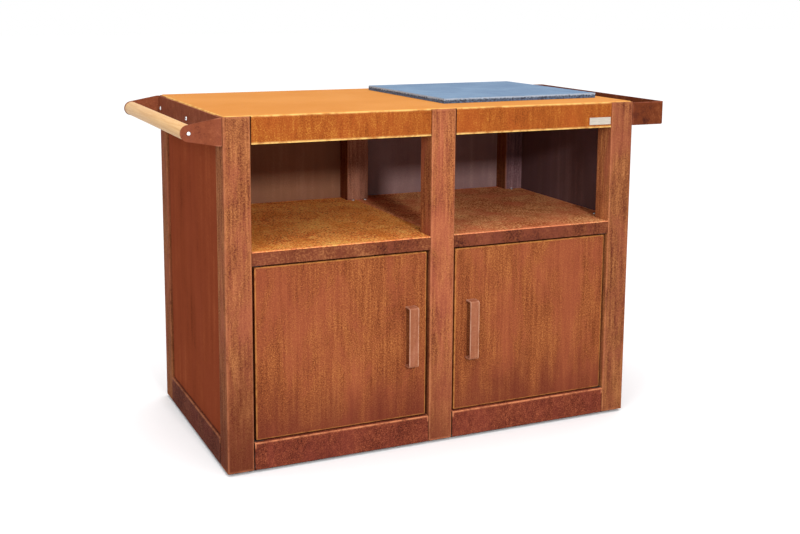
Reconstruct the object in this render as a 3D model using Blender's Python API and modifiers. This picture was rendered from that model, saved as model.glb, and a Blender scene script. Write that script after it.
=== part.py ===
# Outdoor kitchen cart of weathering steel: six square posts, a folded worktop, two open
# bays over two hinged cupboards, a push handle, a side tray, a stone slab and four casters.
# Metres, +Z up. The front faces -Y, the push handle is on -X, and the casters stand on Z = 0.
# The origin is the middle of the overall footprint on the ground.

import math

import bmesh
import bpy
from mathutils import Matrix, Vector

# Body
BODY_WIDTH = 1.200
BODY_DEPTH = 0.664
WORKTOP_HEIGHT = 0.920
GROUND_CLEARANCE = 0.008
SEAT_GAP = 0.0003

# Posts of square tube
POST_SIZE = 0.070
POST_WALL = 0.003
POST_CORNER_RADIUS = 0.004

# Worktop, folded from one sheet
WORKTOP_SHEET = 0.002
WORKTOP_INSET = 0.001
WORKTOP_BEND_RADIUS = 0.007
WORKTOP_SET_BACK_AT_POSTS = 0.003
APRON_HEIGHT = 0.072
APRON_END_GAP = 0.0025

# Shelves that part the open bays from the cupboards
SHELF_TOP_HEIGHT = 0.5776
SHELF_SHEET = 0.002
SHELF_LIP_HEIGHT = 0.035
SHELF_LIP_INSET = 0.001
SHELF_BEND_RADIUS = 0.0035
SHELF_SEAM_GAP = 0.001

# Base
PLINTH_HEIGHT = 0.072
PLINTH_SHEET = 0.0015
PLINTH_FLANGE = 0.050
PLINTH_END_GAP = 0.0022
PLINTH_BEND_RADIUS = 0.003
FLOOR_PLATE = 0.003
FLOOR_FRONT_INSET = 0.036

# Panels
PANEL_SHEET = 0.0015
PANEL_RECESS = 0.008
PANEL_TOP_GAP = 0.006

# Doors
DOOR_SIDE_GAP = 0.008
DOOR_RECESS = 0.008
DOOR_DEPTH = 0.020
DOOR_SHEET = 0.002
DOOR_BEND_RADIUS = 0.003
DOOR_BOTTOM_GAP = 0.0035
DOOR_TOP_GAP = 0.006
PIVOT_FROM_DOOR_EDGE = 0.012
PIVOT_FROM_DOOR_FACE = 0.010

# Door pivots
PIVOT_PIN_RADIUS = 0.004
PIVOT_HOLE_CLEARANCE = 0.0004
PIVOT_PIN_REACH = 0.008
BRACKET_SHEET = 0.0015
BRACKET_LEG_HEIGHT = 0.022
BRACKET_HALF_DEPTH = 0.009
BRACKET_PAST_PIN = 0.008

# Door handles of bent flat bar
DOOR_HANDLE_LENGTH = 0.164
DOOR_HANDLE_WIDTH = 0.027
DOOR_HANDLE_BAR = 0.004
DOOR_HANDLE_STAND_OFF = 0.028
DOOR_HANDLE_FROM_POST = 0.056
DOOR_HANDLE_BEND_RADIUS = 0.006

# Magnet catches
CATCH_WIDTH = 0.025
CATCH_DEPTH = 0.016
CATCH_HEIGHT = 0.040
CATCH_BELOW_DOOR_TOP = 0.012
CATCH_EDGE_RADIUS = 0.0015

# Push handle
HANDLE_BAR = 0.004
HANDLE_ROOT_HEIGHT = 0.069
HANDLE_BELOW_WORKTOP = 0.038
HANDLE_REACH = 0.104
HANDLE_TIP_RADIUS = 0.0205
HANDLE_BEND_RADIUS = 0.005
ROD_RADIUS = 0.0192
ROD_EDGE_RADIUS = 0.0015
ROD_BORE_DEPTH = 0.030

# Side tray
TRAY_REACH = 0.105
TRAY_HEIGHT = 0.066
TRAY_BELOW_WORKTOP = 0.004
TRAY_SHEET = 0.002
TRAY_BEND_RADIUS = 0.004

# Screws and bolts
BOLT_HEAD_RADIUS = 0.0065
BOLT_HEAD_HEIGHT = 0.0035
BOLT_SHANK_RADIUS = 0.003
BOLT_SHANK_LENGTH = 0.012
BOLT_HOLE_CLEARANCE = 0.0004
BOLT_FROM_CORNER = 0.030
ROD_SCREW_LENGTH = 0.024
SHELF_SCREW_HEAD_RADIUS = 0.0058
SHELF_SCREW_HEAD_HEIGHT = 0.003
SHELF_SCREW_SHANK_RADIUS = 0.002
SHELF_SCREW_LENGTH = 0.010
SHELF_SCREW_REAR_INSET = 0.009
SHELF_SCREW_OUTER_REAR = 0.052
SHELF_SCREW_OUTER_FRONT = 0.045
SHELF_SCREW_FRONT_DEPTH = 0.109
SHELF_SCREW_FROM_SEAM = 0.020

# Stone slab that lies on the worktop
SLAB_WIDTH = 0.505
SLAB_DEPTH = 0.490
SLAB_THICKNESS = 0.014
SLAB_LEFT = 0.653
SLAB_FROM_REAR = 0.065
SLAB_TURN_DEGREES = 2.0
SLAB_EDGE_RADIUS = 0.0012

# Blank plate on the right apron
PLATE_WIDTH = 0.070
PLATE_HEIGHT = 0.0205
PLATE_THICKNESS = 0.0010
PLATE_FROM_APRON_END = 0.0025
PLATE_ABOVE_APRON_EDGE = 0.0085
PLATE_EDGE_RADIUS = 0.0003

# Casters
CASTER_FROM_SIDE = 0.130
WHEEL_RADIUS = 0.030
WHEEL_WIDTH = 0.024
WHEEL_EDGE_RADIUS = 0.004
WHEEL_SIDE_GAP = 0.0015
AXLE_RADIUS = 0.004
AXLE_CLEARANCE = 0.0004
CASTER_TRAIL = 0.022
FORK_SHEET = 0.0025
FORK_FRONT = 0.020
FORK_PAST_AXLE = 0.012
FORK_BELOW_AXLE = 0.010
FORK_BEND_RADIUS = 0.004
KINGPIN_RADIUS = 0.006
KINGPIN_CLEARANCE = 0.0005
CASTER_PLATE_SIZE = 0.062
CASTER_PLATE = 0.003
SWIVEL_GAP = 0.0005

# How finely the round shapes are cut
BEND_SEGMENTS = 3
ROUND_SEGMENTS = 28
SMALL_ROUND_SEGMENTS = 16
DOME_SEGMENTS = 2
TIP_SEGMENTS = 24
CUT_MARGIN = 0.010
SHARP_ANGLE = math.radians(40)

# Share of a screw head's height that is domed
DOME_SHARE = 0.55

# Places that follow from the sizes above
REAR_PROUD = SEAT_GAP + BOLT_HEAD_HEIGHT
FRONT_PROUD = DOOR_HANDLE_STAND_OFF - DOOR_RECESS
LEFT = -BODY_WIDTH / 2 + (HANDLE_REACH - TRAY_REACH) / 2
RIGHT = LEFT + BODY_WIDTH
MIDDLE = (LEFT + RIGHT) / 2
FRONT = -(BODY_DEPTH + REAR_PROUD - FRONT_PROUD) / 2
REAR = FRONT + BODY_DEPTH
POST_TOP = WORKTOP_HEIGHT - WORKTOP_SHEET - SEAT_GAP
PLINTH_TOP = GROUND_CLEARANCE + PLINTH_HEIGHT
FLOOR_BOTTOM = PLINTH_TOP + SEAT_GAP
SHELF_LIP_BOTTOM = SHELF_TOP_HEIGHT - SHELF_LIP_HEIGHT
DOOR_BOTTOM = PLINTH_TOP + DOOR_BOTTOM_GAP
DOOR_TOP = SHELF_LIP_BOTTOM - DOOR_TOP_GAP
DOOR_FACE = FRONT + DOOR_RECESS
PIVOT_Y = DOOR_FACE + PIVOT_FROM_DOOR_FACE
PANEL_INNER = PANEL_RECESS + PANEL_SHEET
APRON_BOTTOM = WORKTOP_HEIGHT - APRON_HEIGHT
TRAY_TOP = WORKTOP_HEIGHT - TRAY_BELOW_WORKTOP
HANDLE_CENTRE_HEIGHT = WORKTOP_HEIGHT - HANDLE_BELOW_WORKTOP
SLAB_FRONT = REAR - SLAB_FROM_REAR - SLAB_DEPTH
ROD_X = LEFT - HANDLE_REACH + HANDLE_TIP_RADIUS

# Left edge of each post, from the left
POST_EDGES = {
    "left": LEFT,
    "mid": MIDDLE - POST_SIZE / 2,
    "right": RIGHT - POST_SIZE,
}
POST_ROWS = {
    "front": FRONT,
    "rear": REAR - POST_SIZE,
}
# Clear width between the front posts of each bay
BAYS = {
    "left": (POST_EDGES["left"] + POST_SIZE, POST_EDGES["mid"]),
    "right": (POST_EDGES["mid"] + POST_SIZE, POST_EDGES["right"]),
}
# Outward direction and outer face of each side
SIDES = {
    "left": (-1, LEFT),
    "right": (1, RIGHT),
}


def clear_scene():
    for item in list(bpy.data.objects):
        bpy.data.objects.remove(item, do_unlink=True)


def new_collection(name):
    collection = bpy.data.collections.new(name)
    bpy.context.scene.collection.children.link(collection)
    return collection


def new_material(name, colour, roughness, metallic):
    material = bpy.data.materials.new(name)
    material.use_nodes = True
    shader = material.node_tree.nodes["Principled BSDF"]
    shader.inputs["Base Color"].default_value = (*colour, 1.0)
    shader.inputs["Roughness"].default_value = roughness
    shader.inputs["Metallic"].default_value = metallic
    material.diffuse_color = (*colour, 1.0)
    return material


def finish_mesh(name, builder, collection, origin, material=None):
    mesh = bpy.data.meshes.new(name)
    bmesh.ops.recalc_face_normals(builder, faces=builder.faces)
    builder.to_mesh(mesh)
    builder.free()
    item = bpy.data.objects.new(name, mesh)
    item.location = origin
    collection.objects.link(item)
    if material is not None:
        mesh.materials.append(material)
    return item


# A block between two corners. The sides named in open_sides are left out, so that a sheet
# thickness can be given to the rest.
def block(name, low, high, collection, material=None, open_sides=(), origin=None):
    low = Vector(low)
    high = Vector(high)
    centre = (low + high) / 2
    origin = centre if origin is None else Vector(origin)
    size = high - low
    builder = bmesh.new()
    bmesh.ops.create_cube(builder, size=1.0)
    bmesh.ops.scale(builder, vec=size, verts=builder.verts)
    doomed = []
    for side in open_sides:
        outward = Vector(side)
        for face in builder.faces:
            face.normal_update()
            if face.normal.angle(outward) < SHARP_ANGLE:
                doomed.append(face)
    if doomed:
        bmesh.ops.delete(builder, geom=doomed, context="FACES")
    mesh = bpy.data.meshes.new(name)
    builder.to_mesh(mesh)
    builder.free()
    mesh.transform(Matrix.Translation(centre - origin))
    item = bpy.data.objects.new(name, mesh)
    item.location = origin
    collection.objects.link(item)
    if material is not None:
        mesh.materials.append(material)
    return item


# A round bar along one axis, between two points.
def bar(name, start, end, radius, segments, collection, material=None, origin=None):
    start = Vector(start)
    end = Vector(end)
    centre = (start + end) / 2
    origin = centre if origin is None else Vector(origin)
    along = end - start
    builder = bmesh.new()
    bmesh.ops.create_cone(
        builder, cap_ends=True, segments=segments, radius1=radius, radius2=radius, depth=along.length
    )
    turn = Vector((0, 0, 1)).rotation_difference(along.normalized()).to_matrix().to_4x4()
    bmesh.ops.transform(builder, matrix=Matrix.Translation(centre - origin) @ turn, verts=builder.verts)
    return finish_mesh(name, builder, collection, origin, material)


# A flat outline pushed along one direction into a closed solid.
def prism(name, outline, push, collection, material=None, origin=(0, 0, 0)):
    origin = Vector(origin)
    builder = bmesh.new()
    corners = [builder.verts.new(Vector(point) - origin) for point in outline]
    face = builder.faces.new(corners)
    pushed = bmesh.ops.extrude_face_region(builder, geom=[face])
    moved = [part for part in pushed["geom"] if isinstance(part, bmesh.types.BMVert)]
    bmesh.ops.translate(builder, vec=Vector(push), verts=moved)
    return finish_mesh(name, builder, collection, origin, material)


# A strip of sheet: a centre path pushed sideways, which then gets its bends and thickness.
def strip(name, path, push, collection, material, origin, flip):
    origin = Vector(origin)
    builder = bmesh.new()
    near = [builder.verts.new(Vector(point) - origin) for point in path]
    far = [builder.verts.new(Vector(point) + Vector(push) - origin) for point in path]
    for index in range(len(path) - 1):
        corners = [near[index], near[index + 1], far[index + 1], far[index]]
        if flip:
            corners.reverse()
        builder.faces.new(corners)
    mesh = bpy.data.meshes.new(name)
    builder.to_mesh(mesh)
    builder.free()
    item = bpy.data.objects.new(name, mesh)
    item.location = origin
    collection.objects.link(item)
    mesh.materials.append(material)
    return item


def add_bevel(item, radius, segments=BEND_SEGMENTS):
    bevel = item.modifiers.new("Bend", "BEVEL")
    bevel.width = radius
    bevel.segments = segments
    bevel.limit_method = "ANGLE"
    bevel.angle_limit = SHARP_ANGLE
    bevel.use_clamp_overlap = True
    return bevel


def add_sheet(item, thickness):
    sheet = item.modifiers.new("Sheet", "SOLIDIFY")
    sheet.thickness = thickness
    sheet.offset = -1.0
    sheet.use_even_offset = True
    return sheet


def add_boolean(item, other, operation):
    change = item.modifiers.new(operation.title(), "BOOLEAN")
    change.operation = operation
    change.solver = "EXACT"
    change.object = other
    return change


def as_cutter(item):
    item.hide_render = True
    item.display_type = "WIRE"
    return item


def cut(items, cutter):
    for item in items:
        add_boolean(item, cutter, "DIFFERENCE")


# A screw or bolt whose head seats on a face: seat is the middle of the head's underside, and
# outward points from the face to the head.
def screw(name, seat, outward, head_radius, head_height, shank_radius, shank_length, material):
    seat = Vector(seat)
    outward = Vector(outward)
    head = bar(
        name, seat, seat + outward * head_height, head_radius, SMALL_ROUND_SEGMENTS, cart, material
    )
    dome = head.modifiers.new("Dome", "BEVEL")
    dome.width = head_height * DOME_SHARE
    dome.segments = DOME_SEGMENTS
    dome.limit_method = "ANGLE"
    dome.angle_limit = SHARP_ANGLE
    shank = as_cutter(
        bar(
            name + "_shank", seat + outward * head_height / 2, seat - outward * shank_length,
            shank_radius, SMALL_ROUND_SEGMENTS, cutters,
        )
    )
    add_boolean(head, shank, "UNION")
    return head


def hole(name, start, end, radius, items):
    cutter = as_cutter(bar(name, start, end, radius, SMALL_ROUND_SEGMENTS, cutters))
    cut(items, cutter)


clear_scene()
cart = new_collection("outdoor_kitchen_cart")
cutters = new_collection("cutters")

post_steel = new_material("post_steel", (0.36, 0.12, 0.055), 0.72, 0.25)
worktop_steel = new_material("worktop_steel", (0.80, 0.33, 0.09), 0.62, 0.2)
shelf_steel = new_material("shelf_steel", (0.33, 0.12, 0.05), 0.75, 0.25)
plinth_steel = new_material("plinth_steel", (0.28, 0.085, 0.045), 0.75, 0.25)
panel_steel = new_material("panel_steel", (0.17, 0.045, 0.03), 0.7, 0.25)
door_steel = new_material("door_steel", (0.40, 0.12, 0.045), 0.68, 0.25)
door_handle_steel = new_material("door_handle_steel", (0.48, 0.19, 0.10), 0.65, 0.25)
handle_steel = new_material("handle_steel", (0.26, 0.075, 0.045), 0.65, 0.25)
tray_steel = new_material("tray_steel", (0.19, 0.05, 0.035), 0.7, 0.25)
hidden_steel = new_material("hidden_steel", (0.35, 0.35, 0.36), 0.45, 1.0)
screw_steel = new_material("screw_steel", (0.75, 0.75, 0.76), 0.25, 1.0)
rod_wood = new_material("rod_wood", (0.78, 0.52, 0.25), 0.55, 0.0)
slab_stone = new_material("slab_stone", (0.20, 0.33, 0.48), 0.7, 0.0)
plate_aluminium = new_material("plate_aluminium", (0.72, 0.66, 0.58), 0.45, 0.8)
wheel_rubber = new_material("wheel_rubber", (0.05, 0.05, 0.055), 0.8, 0.0)
catch_plastic = new_material("catch_plastic", (0.06, 0.06, 0.06), 0.5, 0.0)

UP = (0, 0, 1)
DOWN = (0, 0, -1)

# Six posts, open at both ends
posts = {}
for row, row_y in POST_ROWS.items():
    for place, edge in POST_EDGES.items():
        post = block(
            f"post_{row}_{place}",
            (edge, row_y, GROUND_CLEARANCE),
            (edge + POST_SIZE, row_y + POST_SIZE, POST_TOP),
            cart, post_steel, open_sides=(UP, DOWN),
        )
        add_bevel(post, POST_CORNER_RADIUS)
        add_sheet(post, POST_WALL)
        posts[row, place] = post

# Worktop: a shallow box with no underside, whose walls are cut away at the posts
worktop = block(
    "worktop",
    (LEFT + WORKTOP_INSET, FRONT + WORKTOP_INSET, APRON_BOTTOM),
    (RIGHT - WORKTOP_INSET, REAR - WORKTOP_INSET, WORKTOP_HEIGHT),
    cart, worktop_steel, open_sides=(DOWN,),
)
add_bevel(worktop, WORKTOP_BEND_RADIUS, BEND_SEGMENTS + 1)
add_sheet(worktop, WORKTOP_SHEET)

# The notch stays just under the sheet that covers the post, and the strips trim the bend there
NOTCH_TOP = WORKTOP_HEIGHT - WORKTOP_SHEET - SEAT_GAP / 2
for (row, place), post in posts.items():
    edge = POST_EDGES[place]
    row_y = POST_ROWS[row]
    reach_left = CUT_MARGIN if place == "left" else APRON_END_GAP
    reach_right = CUT_MARGIN if place == "right" else APRON_END_GAP
    reach_front = CUT_MARGIN if row == "front" else APRON_END_GAP
    reach_rear = CUT_MARGIN if row == "rear" else APRON_END_GAP
    notch = as_cutter(
        block(
            f"worktop_notch_{row}_{place}",
            (edge - reach_left, row_y - reach_front, APRON_BOTTOM - CUT_MARGIN),
            (edge + POST_SIZE + reach_right, row_y + POST_SIZE + reach_rear, NOTCH_TOP),
            cutters,
        )
    )
    cut([worktop], notch)
    strip_low = FRONT - CUT_MARGIN if row == "front" else REAR - WORKTOP_SET_BACK_AT_POSTS
    strip_high = FRONT + WORKTOP_SET_BACK_AT_POSTS if row == "front" else REAR + CUT_MARGIN
    trim = as_cutter(
        block(
            f"worktop_trim_{row}_{place}",
            (edge - reach_left, strip_low, APRON_BOTTOM - CUT_MARGIN),
            (edge + POST_SIZE + reach_right, strip_high, WORKTOP_HEIGHT + CUT_MARGIN),
            cutters,
        )
    )
    cut([worktop], trim)
    if place != "mid":
        outer_low = LEFT - CUT_MARGIN if place == "left" else RIGHT - WORKTOP_SET_BACK_AT_POSTS
        outer_high = LEFT + WORKTOP_SET_BACK_AT_POSTS if place == "left" else RIGHT + CUT_MARGIN
        side_trim = as_cutter(
            block(
                f"worktop_side_trim_{row}_{place}",
                (outer_low, row_y - reach_front, APRON_BOTTOM - CUT_MARGIN),
                (outer_high, row_y + POST_SIZE + reach_rear, WORKTOP_HEIGHT + CUT_MARGIN),
                cutters,
            )
        )
        cut([worktop], side_trim)

# Two shelves with folded edges, notched round the posts and meeting behind the middle posts
shelves = {}
for place, (outward, outer_face) in SIDES.items():
    outer_x = outer_face - outward * (PANEL_INNER + SEAT_GAP)
    inner_x = MIDDLE + outward * SHELF_SEAM_GAP / 2
    shelf = block(
        f"shelf_{place}",
        (min(outer_x, inner_x), FRONT + SHELF_LIP_INSET, SHELF_LIP_BOTTOM),
        (max(outer_x, inner_x), REAR - PANEL_INNER - SEAT_GAP, SHELF_TOP_HEIGHT),
        cart, shelf_steel, open_sides=(DOWN,),
    )
    add_bevel(shelf, SHELF_BEND_RADIUS)
    add_sheet(shelf, SHELF_SHEET)
    shelves[place] = shelf
    for row, row_y in POST_ROWS.items():
        for post_place in (place, "mid"):
            edge = POST_EDGES[post_place]
            front_reach = CUT_MARGIN if row == "front" else SEAT_GAP
            rear_reach = CUT_MARGIN if row == "rear" else SEAT_GAP
            notch = as_cutter(
                block(
                    f"shelf_{place}_notch_{row}_{post_place}",
                    (edge - SEAT_GAP, row_y - front_reach, SHELF_LIP_BOTTOM - CUT_MARGIN),
                    (
                        edge + POST_SIZE + SEAT_GAP,
                        row_y + POST_SIZE + rear_reach,
                        SHELF_TOP_HEIGHT + CUT_MARGIN,
                    ),
                    cutters,
                )
            )
            cut([shelf], notch)

# Shelf screws beside the posts
for place, (outward, outer_face) in SIDES.items():
    rear_y = REAR - POST_SIZE - SHELF_SCREW_REAR_INSET
    spots = {
        "rear_inner": (MIDDLE + outward * SHELF_SCREW_FROM_SEAM, rear_y),
        "rear_outer": (outer_face - outward * SHELF_SCREW_OUTER_REAR, rear_y),
        "front": (outer_face - outward * SHELF_SCREW_OUTER_FRONT, FRONT + SHELF_SCREW_FRONT_DEPTH),
    }
    for spot, (x, y) in spots.items():
        name = f"shelf_screw_{place}_{spot}"
        screw(
            name, (x, y, SHELF_TOP_HEIGHT + SEAT_GAP), UP, SHELF_SCREW_HEAD_RADIUS,
            SHELF_SCREW_HEAD_HEIGHT, SHELF_SCREW_SHANK_RADIUS, SHELF_SCREW_LENGTH, screw_steel,
        )
        hole(
            name + "_hole",
            (x, y, SHELF_TOP_HEIGHT - CUT_MARGIN), (x, y, SHELF_TOP_HEIGHT + CUT_MARGIN),
            SHELF_SCREW_SHANK_RADIUS + BOLT_HOLE_CLEARANCE, [shelves[place]],
        )

# Front plinths between the posts: a face with a flange along its top
for place, (bay_left, bay_right) in BAYS.items():
    plinth = strip(
        f"plinth_front_{place}",
        [
            (bay_left + PLINTH_END_GAP, FRONT, GROUND_CLEARANCE),
            (bay_left + PLINTH_END_GAP, FRONT, PLINTH_TOP),
            (bay_left + PLINTH_END_GAP, FRONT + PLINTH_FLANGE, PLINTH_TOP),
        ],
        (bay_right - bay_left - 2 * PLINTH_END_GAP, 0, 0),
        cart, plinth_steel, ((bay_left + bay_right) / 2, FRONT, GROUND_CLEARANCE + PLINTH_HEIGHT / 2),
        flip=True,
    )
    add_bevel(plinth, PLINTH_BEND_RADIUS)
    add_sheet(plinth, PLINTH_SHEET)

# Side plinths
side_start = FRONT + POST_SIZE + PLINTH_END_GAP
side_length = BODY_DEPTH - 2 * POST_SIZE - 2 * PLINTH_END_GAP
for place, (outward, outer_face) in SIDES.items():
    plinth = strip(
        f"plinth_{place}",
        [
            (outer_face, side_start, GROUND_CLEARANCE),
            (outer_face, side_start, PLINTH_TOP),
            (outer_face - outward * PLINTH_FLANGE, side_start, PLINTH_TOP),
        ],
        (0, side_length, 0),
        cart, plinth_steel,
        (outer_face, side_start + side_length / 2, GROUND_CLEARANCE + PLINTH_HEIGHT / 2),
        flip=place == "right",
    )
    add_bevel(plinth, PLINTH_BEND_RADIUS)
    add_sheet(plinth, PLINTH_SHEET)

# Cupboard floor, notched round the posts; it carries the casters
floor = block(
    "cupboard_floor",
    (LEFT + PANEL_INNER + SEAT_GAP, FRONT + FLOOR_FRONT_INSET, FLOOR_BOTTOM),
    (RIGHT - PANEL_INNER - SEAT_GAP, REAR - PANEL_INNER - SEAT_GAP, FLOOR_BOTTOM + FLOOR_PLATE),
    cart, shelf_steel,
)
for row, row_y in POST_ROWS.items():
    for place, edge in POST_EDGES.items():
        front_reach = CUT_MARGIN if row == "front" else SEAT_GAP
        rear_reach = CUT_MARGIN if row == "rear" else SEAT_GAP
        left_reach = CUT_MARGIN if place == "left" else SEAT_GAP
        right_reach = CUT_MARGIN if place == "right" else SEAT_GAP
        notch = as_cutter(
            block(
                f"floor_notch_{row}_{place}",
                (edge - left_reach, row_y - front_reach, FLOOR_BOTTOM - CUT_MARGIN),
                (
                    edge + POST_SIZE + right_reach,
                    row_y + POST_SIZE + rear_reach,
                    FLOOR_BOTTOM + FLOOR_PLATE + CUT_MARGIN,
                ),
                cutters,
            )
        )
        cut([floor], notch)

# Side panels stand on the side plinths and back panels run down to the base
panel_top = WORKTOP_HEIGHT - WORKTOP_SHEET - PANEL_TOP_GAP
for place, (outward, outer_face) in SIDES.items():
    outer_x = outer_face - outward * PANEL_RECESS
    inner_x = outer_face - outward * PANEL_INNER
    block(
        f"side_panel_{place}",
        (min(outer_x, inner_x), FRONT + POST_SIZE + SEAT_GAP, PLINTH_TOP + SEAT_GAP),
        (max(outer_x, inner_x), REAR - POST_SIZE - SEAT_GAP, panel_top),
        cart, panel_steel,
    )
for place, (bay_left, bay_right) in BAYS.items():
    block(
        f"back_panel_{place}",
        (bay_left + SEAT_GAP, REAR - PANEL_INNER, GROUND_CLEARANCE),
        (bay_right - SEAT_GAP, REAR - PANEL_RECESS, panel_top),
        cart, panel_steel,
    )

# Doors: shallow trays open to the rear, which turn on pins near their outer edges
for place, (outward, outer_face) in SIDES.items():
    bay_left, bay_right = BAYS[place]
    door_left = bay_left + DOOR_SIDE_GAP
    door_right = bay_right - DOOR_SIDE_GAP
    post_face = bay_left if place == "left" else bay_right
    hinge_edge = door_left if place == "left" else door_right
    pivot_x = hinge_edge - outward * PIVOT_FROM_DOOR_EDGE
    door = block(
        f"door_{place}",
        (door_left, DOOR_FACE, DOOR_BOTTOM),
        (door_right, DOOR_FACE + DOOR_DEPTH, DOOR_TOP),
        cart, door_steel, open_sides=((0, 1, 0),),
        origin=(pivot_x, PIVOT_Y, DOOR_BOTTOM),
    )
    add_bevel(door, DOOR_BEND_RADIUS)
    add_sheet(door, DOOR_SHEET)
    hole(
        f"door_{place}_pivot_holes",
        (pivot_x, PIVOT_Y, DOOR_BOTTOM - CUT_MARGIN), (pivot_x, PIVOT_Y, DOOR_TOP + CUT_MARGIN),
        PIVOT_PIN_RADIUS + PIVOT_HOLE_CLEARANCE, [door],
    )

    # Pivot brackets: a leg on the post, a plate over or under the door and its pin
    levels = {
        "top": (DOOR_TOP + DOOR_TOP_GAP / 2, 1),
        "bottom": (PLINTH_TOP + SEAT_GAP + BRACKET_SHEET, -1),
    }
    for level, (inner_z, away) in levels.items():
        leg_x = post_face - outward * SEAT_GAP
        far_x = pivot_x - outward * BRACKET_PAST_PIN
        bracket = strip(
            f"door_pivot_{place}_{level}",
            [
                (leg_x, PIVOT_Y - BRACKET_HALF_DEPTH, inner_z + away * BRACKET_LEG_HEIGHT),
                (leg_x, PIVOT_Y - BRACKET_HALF_DEPTH, inner_z),
                (far_x, PIVOT_Y - BRACKET_HALF_DEPTH, inner_z),
            ],
            (0, 2 * BRACKET_HALF_DEPTH, 0),
            cart, hidden_steel, (pivot_x, PIVOT_Y, inner_z),
            flip=(place == "left") == (level == "top"),
        )
        add_sheet(bracket, BRACKET_SHEET)
        pin = as_cutter(
            bar(
                f"door_pivot_{place}_{level}_pin",
                (pivot_x, PIVOT_Y, inner_z + away * BRACKET_SHEET / 2),
                (pivot_x, PIVOT_Y, inner_z - away * PIVOT_PIN_REACH),
                PIVOT_PIN_RADIUS, SMALL_ROUND_SEGMENTS, cutters,
            )
        )
        add_boolean(bracket, pin, "UNION")

    # Door handle: flat bar bent to a bridge
    handle_post = bay_right if place == "left" else bay_left
    handle_x = handle_post + outward * DOOR_HANDLE_FROM_POST
    handle_z = (DOOR_BOTTOM + DOOR_TOP) / 2
    bar_front = DOOR_FACE - DOOR_HANDLE_STAND_OFF
    handle_left = handle_x - DOOR_HANDLE_WIDTH / 2
    door_handle = strip(
        f"door_handle_{place}",
        [
            (handle_left, DOOR_FACE - SEAT_GAP, handle_z - DOOR_HANDLE_LENGTH / 2),
            (handle_left, bar_front, handle_z - DOOR_HANDLE_LENGTH / 2),
            (handle_left, bar_front, handle_z + DOOR_HANDLE_LENGTH / 2),
            (handle_left, DOOR_FACE - SEAT_GAP, handle_z + DOOR_HANDLE_LENGTH / 2),
        ],
        (DOOR_HANDLE_WIDTH, 0, 0),
        cart, door_handle_steel, (handle_x, DOOR_FACE, handle_z), flip=True,
    )
    add_bevel(door_handle, DOOR_HANDLE_BEND_RADIUS)
    add_sheet(door_handle, DOOR_HANDLE_BAR)

    # Magnet catch on the middle post, behind the free edge of the door
    catch_inner = handle_post + outward * SEAT_GAP
    catch_outer = handle_post + outward * (SEAT_GAP + CATCH_WIDTH)
    catch_top = DOOR_TOP - CATCH_BELOW_DOOR_TOP
    catch = block(
        f"magnet_catch_{place}",
        (min(catch_inner, catch_outer), DOOR_FACE + DOOR_DEPTH + SEAT_GAP, catch_top - CATCH_HEIGHT),
        (
            max(catch_inner, catch_outer),
            DOOR_FACE + DOOR_DEPTH + SEAT_GAP + CATCH_DEPTH,
            catch_top,
        ),
        cart, catch_plastic,
    )
    add_bevel(catch, CATCH_EDGE_RADIUS, 2)

# Push handle bracket: flat bar bent to a U round the end of the body, with tapered arms
handle_bottom = HANDLE_CENTRE_HEIGHT - HANDLE_ROOT_HEIGHT / 2
handle_top = HANDLE_CENTRE_HEIGHT + HANDLE_ROOT_HEIGHT / 2
bracket_face = LEFT - SEAT_GAP
handle_bracket = strip(
    "handle_bracket",
    [
        (LEFT - HANDLE_REACH, FRONT, handle_bottom),
        (bracket_face, FRONT, handle_bottom),
        (bracket_face, REAR, handle_bottom),
        (LEFT - HANDLE_REACH, REAR, handle_bottom),
    ],
    (0, 0, HANDLE_ROOT_HEIGHT),
    cart, handle_steel, (bracket_face, (FRONT + REAR) / 2, HANDLE_CENTRE_HEIGHT), flip=False,
)
add_bevel(handle_bracket, HANDLE_BEND_RADIUS)
add_sheet(handle_bracket, HANDLE_BAR)

# Side view of the bracket: straight edges from the root run tangent to the round tip
root_reach = bracket_face - HANDLE_BEND_RADIUS - HANDLE_BAR
taper_run = root_reach - ROD_X
half_root = HANDLE_ROOT_HEIGHT / 2
root_distance = math.hypot(taper_run, half_root)
tangent_angle = math.atan2(half_root, taper_run) + math.acos(HANDLE_TIP_RADIUS / root_distance)
outline = [(bracket_face + CUT_MARGIN, FRONT - CUT_MARGIN, handle_bottom - CUT_MARGIN)]
outline.append((root_reach, FRONT - CUT_MARGIN, handle_bottom - CUT_MARGIN))
outline.append((root_reach, FRONT - CUT_MARGIN, handle_bottom))
for step in range(TIP_SEGMENTS + 1):
    sweep = -tangent_angle - (2 * math.pi - 2 * tangent_angle) * step / TIP_SEGMENTS
    outline.append(
        (
            ROD_X + HANDLE_TIP_RADIUS * math.cos(sweep),
            FRONT - CUT_MARGIN,
            HANDLE_CENTRE_HEIGHT + HANDLE_TIP_RADIUS * math.sin(sweep),
        )
    )
outline.append((root_reach, FRONT - CUT_MARGIN, handle_top))
outline.append((root_reach, FRONT - CUT_MARGIN, handle_top + CUT_MARGIN))
outline.append((bracket_face + CUT_MARGIN, FRONT - CUT_MARGIN, handle_top + CUT_MARGIN))
arm_outline = as_cutter(
    prism("handle_arm_outline", outline, (0, BODY_DEPTH + 2 * CUT_MARGIN, 0), cutters)
)
add_boolean(handle_bracket, arm_outline, "INTERSECT")

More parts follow.
